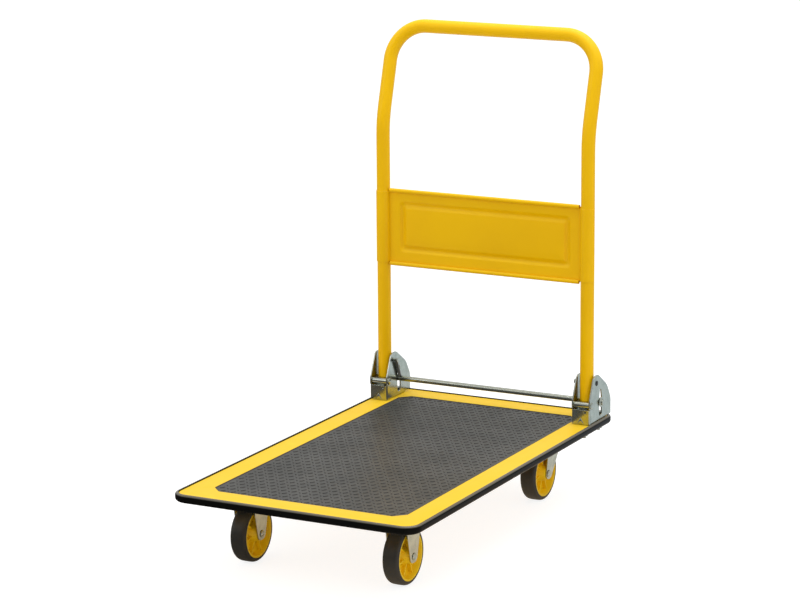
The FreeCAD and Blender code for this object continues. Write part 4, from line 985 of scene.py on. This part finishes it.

# %% [markdown]
# ## Rivets, foot bar and washers
#
# The pivot is a rivet through both plates, and smaller rivets anchor the springs in the inner
# plates. The outer plates have the same holes, because both sides of a bracket are cut alike, and
# a rivet in the black plug finish closes each; its black is painted shade for the dark inside the
# hole. Rivet heads are formed by a hammer, so they are low domes, not discs. The foot bar is a
# plain rod with broken ends, kept by push-on washers whose slit collars bite on it. All are turned
# shapes, so each is a profile turned round the X axis.

# %% Turned profiles
AXIS = 0.02
DOME_TALL, PIN_SHANK = 2.2, 4.0
SPRING_RADIUS, SPRING_WIRE, SIDE_GAP = 2.7, 0.55, 0.3
anchor_reach = PLATE + 2 * (SPRING_RADIUS + SPRING_WIRE + SIDE_GAP)
ANCHOR_PROFILE = [(0, AXIS), (0, 2.5), (anchor_reach, 2.5), (anchor_reach, 4.0),
                  (anchor_reach + 0.4, 4.2), (anchor_reach + 1.0, 2.9),
                  (anchor_reach + 1.1, AXIS)]
CLOSING_PROFILE = [(-PLATE, AXIS), (-PLATE, 2.4), (0.02, 2.4), (0.02, 4.8), (0.5, 5.0),
                   (1.2, 4.2), (1.6, 2.6), (1.7, AXIS)]


def pivot_rivet(node):
    """A rivet over a node's own box: shank, and a dome at each end."""
    box = box_mm(node)
    head, reach = box.half.z, box.half.x - DOME_TALL
    dome = [(0, head * 0.96), (0.28, head)]
    dome += [(share, head * math.sqrt(1 - share ** 2.6)) for share in (0.5, 0.68, 0.82, 0.93)]
    half = [(reach, PIN_SHANK)] + [(reach + DOME_TALL * share, radius)
                                   for share, radius in dome + [(1, AXIS)]]
    return turned(both_sides(half), box.middle, steps=48)


def small_rivets(profile, face, way):
    """The same small rivet on both sides, at the springs' anchors."""
    return pair(lambda side: turned(profile, (side * face, *anchor.yz), steps=32, way=way * side))


for side_name in SIDES:
    make(f"{side_name}_pivot_rivet", pivot_rivet(f"{side_name}_pivot_pin"), "zinc_plate", "deck",
         replaces=[f"{side_name}_pivot_pin"])
make("anchor_rivets", small_rivets(ANCHOR_PROFILE, spread_x - bracket_half + PLATE, -1),
     "zinc_plate", "deck", replaces=["spring_anchors"])
# The rivets in the outer plates take the black plug finish as painted shade for the dark inside
# the holes.
make("closing_rivets", small_rivets(CLOSING_PROFILE, spread_x + bracket_half, 1),
     "plug_plastic", "deck")

# %% Foot bar and its washers
BAR_RADIUS, BROKEN_END = foot_bar.half.z, 0.8
WASHER_RADIUS, COLLAR_TALL, SLIT = 9.0, 3.2, 0.35
rod_half = [(foot_bar.high.x - BROKEN_END, BAR_RADIUS),
            (foot_bar.high.x, BAR_RADIUS - BROKEN_END), (foot_bar.high.x, AXIS)]
make("foot_bar_rod", turned(both_sides(rod_half), (0, *foot_bar.middle.yz), steps=48),
     "zinc_plate", "foot_bar", replaces=["release_bar"])


def washer_profile(step):
    """A dished disc with a collar, which is drawn in at every eighth step to make the slits."""
    slit = SLIT if step % 8 == 0 else 0.0
    collar = COLLAR_TALL - slit * 3
    return [(0.25, BAR_RADIUS + 0.02), (0, BAR_RADIUS + 1.5), (0, WASHER_RADIUS - 1.2),
            (0.5, WASHER_RADIUS - 0.2), (1.1, WASHER_RADIUS), (1.6, WASHER_RADIUS - 0.4),
            (1.5, WASHER_RADIUS - 1.6), (1.7, BAR_RADIUS + 2.0), (2.1, BAR_RADIUS + 1.25),
            (collar, BAR_RADIUS + 1.0 - slit), (collar, BAR_RADIUS + 0.02)]


def push_on_washer(side):
    face = (side * (spread_x + bracket_half + SIDE_GAP), *foot_bar.middle.yz)
    return turned(washer_profile, face, steps=48, way=side)


make("push_on_washers", pair(push_on_washer), "zinc_plate", "foot_bar",
     replaces=["release_bar_washers"])

# %% [markdown]
# ## Tyres
#
# Each wheel is a hard plastic centre with a thin band of plain black rubber on it. The tread is
# slightly crowned, its shoulders are round, and a fine ring is pressed into each shoulder where
# the mould closed. A torus would be too round, so the true section is turned round the axle.

# %% Turn the tyres
WHEELS = ("front_left", "front_right", "rear_left", "rear_right")
SHOULDER, MOULD_RING = 7.0, 0.3
tyre, hub = box_mm("front_left_tyre"), box_mm("front_left_hub")
wheel_radius, tyre_half = tyre.half.z, tyre.half.x
hub_radius, hub_half = hub.half.z, hub.half.x
shoulder = (tyre_half - SHOULDER, wheel_radius - SHOULDER - 0.35)
tyre_side = [(tyre_half - 0.6, hub_radius), (tyre_half - 0.15, hub_radius + 0.2),
             *arc(shoulder, SHOULDER, 5, 26, 3), *arc(shoulder, SHOULDER - MOULD_RING, 29, 34, 2),
             *arc(shoulder, SHOULDER, 37, 82, 6), (tyre_half - 7.2, wheel_radius - 0.18),
             (tyre_half - 10.0, wheel_radius - 0.05), (2.0, wheel_radius)]


def wheel_centre(wheel):
    return box_mm(f"{wheel}_tyre").middle


for wheel in WHEELS:
    make(f"{wheel}_tread", turned(both_sides(tyre_side), wheel_centre(wheel), steps=112),
         "tyre_rubber", f"{wheel}_wheel", replaces=[f"{wheel}_tyre"], crease=50)
print("wheel radius", round(wheel_radius, 1), "tread", round(2 * tyre_half, 1), "wide")

# %% [markdown]
# ## Wheel centres
#
# The hub is a moulding: a boss round the axle, a cone that runs from the boss to a thin web, a
# deep rim, and seven ribs that carry load from rim to boss. The round parts are turned. The rib
# is one small tapered block, and a tree turns copies of it round the axle, so their number is one
# input.

# %% A tree that turns a part round the axle
ribs_tree, given, close = copies_tree("ribs_round_an_axle", {"Count": "Int"})
spots = add_node(ribs_tree, "GeometryNodeMeshLine",
                 {"Count": given["Count"], "Offset": (0.0, 0.0, 0.0)})
number = ribs_tree.nodes.new("GeometryNodeInputIndex")
angle = maths("MULTIPLY", number.outputs[0], maths("DIVIDE", math.tau, given["Count"]))
close(spots.outputs[0], given["Geometry"], 0, angle)

# %% Mould the hubs
RIBS, RIB_THICK, RIB_INSET, RIB_ROUND = 7, 3.0, 5.0, 0.5
BORE, BOSS, RIM_INSET, RIM_WALL = 6.1, 12.0, 0.6, 5.0
rim_half, rim_foot = tyre_half - RIM_INSET, hub_radius - RIM_WALL
hub_side = [(hub_half, BORE), (hub_half, BOSS - 1.0), (hub_half - 0.4, BOSS - 0.3),
            (hub_half - 1.2, BOSS), (4.2, BOSS + 5.2), (3.0, BOSS + 6.0), (2.5, BOSS + 7.0),
            (2.5, rim_foot - 2.2), (3.1, rim_foot - 1.4), (4.4, rim_foot - 0.8),
            (rim_half - 0.8, rim_foot + 1.2), (rim_half, rim_foot + 1.9),
            (rim_half, hub_radius - 0.4), (rim_half - 0.4, hub_radius)]
rib_in, rib_out, rib_reach = BOSS - 2.5, rim_foot + 0.6, rim_half - RIB_INSET
rib_side = [(0, 0), (rib_reach - RIB_ROUND, 0.3), (rib_reach, 0.7)]
rib_rings = []
for along, taper in both_sides(rib_side)[:-3] + rib_side:
    half = RIB_THICK / 2 - taper
    rib_rings.append([(along, -half, rib_in), (along, half, rib_in), (along, half, rib_out),
                      (along, -half, rib_out)])
rib = plain_mesh("rib", loft(rib_rings))
for wheel in WHEELS:
    ribs = grown_mesh("ribs", ribs_tree, rib.copy(),
                      {"Count": RIBS, "Finish": finishes["hub_plastic"]})
    ribs.transform(Matrix.Translation(wheel_centre(wheel) * MM))
    rounds = plain_mesh("rounds", turned(both_sides(hub_side), wheel_centre(wheel), steps=84))
    whole = bmesh.new()
    whole.from_mesh(rounds)
    whole.from_mesh(ribs)
    whole.to_mesh(rounds)
    whole.free()
    add_piece(f"{wheel}_wheel_centre", rounds, "hub_plastic", f"{wheel}_wheel",
              replaces=[f"{wheel}_hub"])

# %% [markdown]
# ## Caster forks
#
# A fork is a folded U of 2.5 mm sheet. Its legs taper to a round toe at the axle. The front ones
# are fixed, so their top is riveted flat to the bolted plate. The rear ones turn: their top is a
# round dish with a ball race, and the legs sweep back so that the wheel trails behind the pivot,
# which is what makes a caster follow the push.

# %% Fixed forks
FORK_BEND, FORK_HALF, TOP_PLATE = 4.0, 21.0, 3.0
TOE_HALF, TOE_ROUND, HIP_LEVEL, HIP_ROUND = 11.0, 10.4, 35.7, 40.0
BOLT_WIDE, BOLT_LONG, BOLT_HOLE, PLATE_CORNER = 30.0, 40.0, 4.25, 8.0
fork = box_mm("front_left_fork")
bolt_pattern = [(x, y) for x in (-BOLT_WIDE, BOLT_WIDE) for y in (-BOLT_LONG, BOLT_LONG)]


def fork_legs(edge, holes, middle, top):
    """Legs and crown of a fork, from the edge of one leg as (back, level) points."""
    side = [(side_height(top - level, FORK_HALF, FORK_BEND), back) for back, level in edge]
    return u_sheet(side + [(-along, back) for along, back in reversed(side)], holes, FORK_HALF,
                   FORK_BEND, lambda across, back, down: (middle.x + across, middle.y + back,
                                                          top - down))


def fixed_fork(wheel):
    """Upright legs under a crown, and the bolted plate on top."""
    axle, top = wheel_centre(wheel), fork.high.z - TOP_PLATE
    rear = [(26.4, top - axle.z - FORK_BEND, 0), (22.0, HIP_LEVEL, HIP_ROUND),
            (TOE_HALF, -TOE_HALF, TOE_ROUND)]
    edge = rounded([(-back, level, radius) for back, level, radius in rear] + rear[::-1])
    legs = fork_legs([(back, level + axle.z) for back, level in edge], [], axle, top)
    wide, long = fork.half.x, fork.half.y
    plate = sheet_metal(
        rounded([(-wide, -long, PLATE_CORNER), (wide, -long, PLATE_CORNER),
                 (wide, long, PLATE_CORNER), (-wide, long, PLATE_CORNER)]),
        [circle_loop(spot, BOLT_HOLE, 20) for spot in bolt_pattern], TOP_PLATE,
        lambda u, v, height: (axle.x + u, axle.y + v, top + height), broken_edge=0.4)
    return merged(legs, plate)


for wheel in WHEELS[:2]:
    make(f"{wheel}_fork_sheet", fixed_fork(wheel), "zinc_plate", "deck",
         replaces=[f"{wheel}_fork"])

# %% Swivel forks
CROWN_RADIUS, CROWN_DROP, CROWN_BORE = 30.0, 9.3, 6.2
RACE_PROFILE = [(0, CROWN_BORE), (0.3, 12.8), (-2.7, 14.0), (-3.0, 14.6), (-3.0, 18.2),
                (-2.3, 18.9), (-2.3, 21.1), (-3.0, 21.8), (-3.0, 25.4), (-2.7, 26.0), (0, 26.6),
                (0.4, CROWN_RADIUS - 1.0), (1.2, CROWN_RADIUS), (2.2, CROWN_RADIUS - 0.2),
                (2.5, CROWN_RADIUS - 1.2), (2.5, CROWN_BORE)]


def swivel_fork(wheel):
    """Legs that sweep back to the axle, under a dish with the lower race."""
    axle, pivot = wheel_centre(wheel), box_mm(f"{wheel}_kingpin").middle
    top = fork.high.z - CROWN_DROP
    trail, toe, under = axle.y - pivot.y, axle.z - TOE_HALF, top - FORK_BEND
    edge = rounded([(-28.5, under, 0), (-33.5, top - 26.5, 14.0),
                    (trail - TOE_HALF, toe, TOE_ROUND), (trail + TOE_HALF, toe, TOE_ROUND),
                    (25.5, top - 14.5, 9.0), (25.5, under, 0)])
    legs = fork_legs(edge, [circle_loop((0, 0), CROWN_BORE)], pivot, top)
    return merged(legs, turned(RACE_PROFILE, (pivot.x, pivot.y, top), axis="Z", way=-1))


for wheel in WHEELS[2:]:
    make(f"{wheel}_fork_sheet", swivel_fork(wheel), "zinc_plate", f"{wheel}_swivel",
         replaces=[f"{wheel}_fork"])

# %% [markdown]
# ## Bolts and nuts
#
# Every screw on the cart is the same M8 hexagon in a different length, but for the low round
# heads on the axles. A forged head is not a plain prism: a cone cuts its corners, which leaves
# the curved edges that show under any light. The thread shows only where it stands out of a nut.
# One head, one nut and one bolt are made, and a tree sets copies on points and turns each by a
# random angle, as a wrench leaves them.

# %% Hexagons with cut corners
HEX_CORNER, HEX_STEPS = 7.5, 24
HEX_FLAT = HEX_CORNER * math.cos(math.pi / 6)
FACE_RADIUS = HEX_FLAT * 0.94
THREAD_RADIUS, THREAD_PITCH, THREAD_DEEP = 4.0, 1.25, 0.55
HEAD_TALL, NUT_TALL, TAIL = 5.3, 6.6, 4.0


def hex_ring(height, cone=0.0):
    """The hexagon at a height; a cone lowers its corners."""
    ring = []
    for angle in (math.tau * step / HEX_STEPS for step in range(HEX_STEPS)):
        radius = HEX_FLAT / math.cos((angle + math.pi / 6) % (math.pi / 3) - math.pi / 6)
        ring.append((radius * math.cos(angle), radius * math.sin(angle),
                     height - cone * (radius - HEX_FLAT * 0.97)))
    return ring


def round_ring(radius, height):
    return [(x, y, height) for x, y in circle_loop((0, 0), radius, HEX_STEPS)]


def threaded_end(start, end):
    """A threaded length down along Z; ridges show the thread, and the tip is chamfered."""
    loops = [round_ring(THREAD_RADIUS, start)]
    for turn in range(int((start - end) / THREAD_PITCH)):
        loops += [round_ring(THREAD_RADIUS - deep, start - THREAD_PITCH * (turn + share))
                  for share, deep in ((0.15, 0), (0.55, THREAD_DEEP), (0.95, 0))]
    return loft(loops + [round_ring(THREAD_RADIUS - 0.2, end + 0.8), round_ring(2.9, end)])


def bolt(head, length, threaded):
    """A bolt pointing down: head above the plane at 0, shank and thread below."""
    shank_end = threaded - length
    shank = [round_ring(THREAD_RADIUS, 0.3), round_ring(THREAD_RADIUS, shank_end)]
    return merged(loft(head), loft(shank), threaded_end(shank_end, -length))


def nut(top, mouth, mouth_deep):
    """A nut on the plane at 0 with its threaded hole left open; its top is given as rings."""
    rings = [round_ring(FACE_RADIUS, 0), hex_ring(0, cone=-0.5), *top]
    rings += [round_ring(THREAD_RADIUS + wider, height) for wider, height in (
        (mouth, NUT_TALL), (0, NUT_TALL - mouth_deep), (0, 0.5), (0.5, 0))]
    return loft(rings, round_trip=True)


HEX_HEAD = [round_ring(FACE_RADIUS, 0), hex_ring(0.25), hex_ring(HEAD_TALL, cone=0.5),
            round_ring(HEX_FLAT * 0.93, HEAD_TALL), round_ring(HEX_FLAT * 0.6, HEAD_TALL - 0.12)]
DISHED_HEAD = [round_ring(radius, height) for radius, height in (
    (6.3, 0), (6.6, 0.4), (6.5, 1.0), (6.0, 1.6), (5.3, 2.0), (4.6, 1.9), (3.9, 1.2),
    (3.3, 0.8), (1.4, 0.7))]
HEX_NUT = nut([hex_ring(NUT_TALL, cone=0.5), round_ring(FACE_RADIUS, NUT_TALL)], 0.5, 0.5)
LOCK_NUT = nut([hex_ring(NUT_TALL - 2.0, cone=0.5)]
               + [round_ring(HEX_FLAT * share, NUT_TALL - below)
                  for share, below in ((0.9, 1.9), (0.9, 0.7), (0.8, 0))], 1.0, 0.4)
print("nut:", len(HEX_NUT[1]), "faces, lock nut:", len(LOCK_NUT[1]))

# %% A tree that sets screws on points
screws_tree, given, close = copies_tree("screws_on_points", {"Screw": "Object", "Seed": "Int"})
part = add_node(screws_tree, "GeometryNodeObjectInfo", {"Object": given["Screw"]})
chance = add_node(screws_tree, "FunctionNodeRandomValue", {"Seed": given["Seed"]},
                  data_type="FLOAT")
share_of_turn = next(s for s in chance.outputs if s.enabled)
close(given["Geometry"], part.outputs["Geometry"], 2, maths("MULTIPLY", share_of_turn, math.tau))

# %% Set the screws
def set_screws(name, shape, spots, level, replaced, seed):
    """Copies of a vertical screw on the deck, its plane at a level."""
    screw = in_scene(bpy.data.objects.new("screw", plain_mesh("screw", shape)))
    points = bpy.data.meshes.new("spots")
    points.from_pydata([Vector((*spot, level)) * MM for spot in spots], [], [])
    mesh = grown_mesh(name, screws_tree, points,
                      {"Screw": screw, "Seed": seed, "Finish": finishes["zinc_plate"]})
    bpy.data.objects.remove(screw)
    add_piece(name, mesh, "zinc_plate", "deck", [replaced])


def upside_down(shape):
    points, faces = shape
    return [Vector((p.x, -p.y, -p.z)) for p in points], faces


bolts, casters = box_mm("bracket_bolts"), box_mm("caster_bolts")
seat_level, head_plane = bolts.high.z - HEAD_TALL, casters.low.z + HEAD_TALL
spots = [(side * spread_x, back) for side in (-1, 1)
         for back in (bolts.low.y + HEX_CORNER, bolts.high.y - HEX_CORNER)]
set_screws("bracket_bolt_set", bolt(HEX_HEAD, seat_level - bolts.low.z, TAIL + NUT_TALL), spots,
           seat_level, "bracket_bolts", 3)
set_screws("bracket_nut_set", HEX_NUT, spots, box_mm("bracket_nuts").low.z, "bracket_nuts", 8)
spots = [(middle.x + x, middle.y + y)
         for middle in (box_mm(node).middle for node in (
             "front_left_fork", "front_right_fork", "rear_left_top_plate", "rear_right_top_plate"))
         for x, y in bolt_pattern]
set_screws("caster_bolt_set", upside_down(bolt(HEX_HEAD, casters.high.z - head_plane, NUT_TALL)),
           spots, head_plane, "caster_bolts", 5)
set_screws("caster_nut_set", HEX_NUT, spots, box_mm("caster_nuts").low.z, "caster_nuts", 11)

# %% Axle bolts and lock nuts
def on_axle(shape, wheel, way):
    """A vertical screw laid along X against the fork's leg on one side."""
    points, faces = shape
    at = wheel_centre(wheel) + Vector((way * FORK_HALF, 0, 0))
    return [at + Vector((way * p.z, p.x, way * p.y)) for p in points], faces


axle_length = 2 * FORK_HALF + NUT_TALL + TAIL / 2
axle_bolt = bolt(DISHED_HEAD, axle_length, NUT_TALL + TAIL)
AXLE_SCREWS = ((axle_bolt, 1, "bolt", "screw"), (LOCK_NUT, -1, "nut", "lock_nut"))
for screw, way, kind, _ in AXLE_SCREWS:
    make(f"front_axle_{kind}_pair", merged(*(on_axle(screw, wheel, way) for wheel in WHEELS[:2])),
         "zinc_plate", "deck", replaces=[f"front_axle_{kind}s"])
for wheel in WHEELS[2:]:
    for screw, way, kind, name in AXLE_SCREWS:
        make(f"{wheel}_axle_{name}", on_axle(screw, wheel, way), "zinc_plate",
             f"{wheel}_swivel", replaces=[f"{wheel}_axle_{kind}"])

# %% [markdown]
# ## Floor, light and camera
#
# The cart stands in a plain studio. A wide soft lamp overhead lights the deck and the grip a
# little more than the upright faces, which is how the yellow keeps its shape, and the white
# surroundings fill the rest. The floor and the backdrop look white to the camera, but they light
# the object only as much as a pale room does. Plated metal has no look of its own, so what it
# mirrors is set apart: in reflections the floor glows as a painted reflection, warm near the cart,
# cool far off and dark in front, and the room is darker low down and behind the camera, as a
# studio is.

# %% Floor
def ray_kinds(tree):
    """Whether a ray comes from the camera, and whether it left a mirroring surface."""
    ray = tree.nodes.new("ShaderNodeLightPath").outputs
    return ray["Is Camera Ray"], ray["Is Glossy Ray"]


FLOOR_REACH = 30.0
FLOOR_TONE, SEEN_TONE, VIEW_GLOW = 0.78, 0.32, 0.85
DARK_FRONT, FAR_OFF = (-0.60, -0.10, 0.10, 1.0), (0.45, 1.2)
NEAR_PAINTED_REFLECTION, FAR_PAINTED_REFLECTION, WHITE = (0.63, 0.50, 0.35, 1.0), (0.36, 0.45, 0.51, 1.0), (1.0,) * 4
FLOOR_ROUGHNESS, FLOOR_SHEEN = 0.9, 0.1
floor_mesh = bpy.data.meshes.new("floor")
corners = [(x, y, 0.0) for x, y in ((-1, -1), (1, -1), (1, 1), (-1, 1))]
floor_mesh.from_pydata([Vector(corner) * FLOOR_REACH for corner in corners], [], [(0, 1, 2, 3)])
floor = in_scene(bpy.data.objects.new("floor", floor_mesh))
pale = bpy.data.materials.new("pale_floor")
pale.use_nodes = True
tree = pale.node_tree
shader = tree.nodes["Principled BSDF"].inputs
shader["Roughness"].default_value = FLOOR_ROUGHNESS
shader["Specular IOR Level"].default_value = FLOOR_SHEEN
camera_ray, glossy_ray = ray_kinds(tree)
parts = split(place_in(tree))
across = maths("ADD", parts["X"], parts["Y"])
# For glossy rays the floor is a painted reflection: it glows warm near the cart, cool far off and
# dark in front.
painted_reflection_fade, far_off = spread(across, *DARK_FRONT), spread(across, *FAR_OFF)
tone = add_node(tree, "ShaderNodeMix", {
    0: glossy_ray, 2: spread(camera_ray, 0.0, 1.0, FLOOR_TONE, SEEN_TONE),
    3: maths("MULTIPLY", painted_reflection_fade, SEEN_TONE)})
connect(tone.outputs[0], shader["Base Color"])
connect(maths("ADD", maths("MULTIPLY", camera_ray, VIEW_GLOW),
              maths("MULTIPLY", glossy_ray, painted_reflection_fade)), shader["Emission Strength"])
painted_reflection_colour = mix_colour(far_off, NEAR_PAINTED_REFLECTION, FAR_PAINTED_REFLECTION)
connect(mix_colour(camera_ray, painted_reflection_colour, WHITE), shader["Emission Color"])
floor_mesh.materials.append(pale)
print("floor", 2 * FLOOR_REACH, "m wide")

# %% World
ROOM_LIGHT, DARK_SIDE, SIDE_LEVEL, TOP_LEVEL = 0.78, 0.50, 0.60, 0.85
FRONT_SIDE, LOW_DOWN, RISE = (-0.15, -0.75), (0.75, 0.25), (0.2, 0.6)
world = bpy.data.worlds.new("studio")
bpy.context.scene.world = world
world.use_nodes = True
tree = world.node_tree
tree.nodes.clear()
camera_ray, glossy_ray = ray_kinds(tree)
parts = split(place_in(tree, "Generated"))
shade = maths("MULTIPLY", spread(parts["Y"], *FRONT_SIDE), spread(parts["Z"], *LOW_DOWN))
glossy_level = maths("SUBTRACT", spread(parts["Z"], *RISE, SIDE_LEVEL, TOP_LEVEL),
                     maths("MULTIPLY", shade, DARK_SIDE))
seen = maths("ADD", camera_ray, maths("MULTIPLY", glossy_ray, glossy_level))
other = maths("SUBTRACT", 1.0, maths("MAXIMUM", camera_ray, glossy_ray))
strength = maths("ADD", seen, maths("MULTIPLY", other, ROOM_LIGHT))
background = add_node(tree, "ShaderNodeBackground", {"Color": WHITE, "Strength": strength})
add_node(tree, "ShaderNodeOutputWorld", {"Surface": background.outputs[0]})
print("room light", ROOM_LIGHT)

# %% Lamps
def soft_lamp(name, size, watts, place, aim):
    """A square area lamp at a place, turned to a point."""
    data = bpy.data.lights.new(name, "AREA")
    data.shape, data.size, data.energy = "SQUARE", size, watts
    lamp = in_scene(bpy.data.objects.new(name, data))
    lamp.location = place
    lamp.rotation_euler = (Vector(aim) - Vector(place)).to_track_quat("-Z", "Y").to_euler()
    print(name, watts, "W")


soft_lamp("overhead", 2.4, 42.0, (0.3, 0.5, 2.9), (0.0, 0.0, 0.2))
soft_lamp("left_fill", 1.6, 11.0, (-2.2, -2.0, 1.7), (0.0, 0.0, 0.4))
soft_lamp("right_fill", 2.4, 4.0, (2.6, -0.9, 0.9), (0.0, 0.0, 0.15))

# %% Camera
LENS, SENSOR, FAR_CLIP = 135.476, 36.0, 100.0
PLACE, PITCH, HEADING, ROLL = (2.3972, -4.6033, 1.5888), 77.3091, 27.5375, -0.4105
camera_data = bpy.data.cameras.new("camera")
camera_data.lens, camera_data.sensor_width, camera_data.clip_end = LENS, SENSOR, FAR_CLIP
camera = in_scene(bpy.data.objects.new("camera", camera_data))
camera.location = PLACE
level = Euler((math.radians(PITCH), 0.0, math.radians(HEADING))).to_matrix()
camera.rotation_euler = (level @ Matrix.Rotation(math.radians(ROLL), 3, "Z")).to_euler()
bpy.context.scene.camera = camera
bpy.context.scene.view_settings.view_transform = "Standard"
print("camera at", [round(v, 2) for v in camera.location])
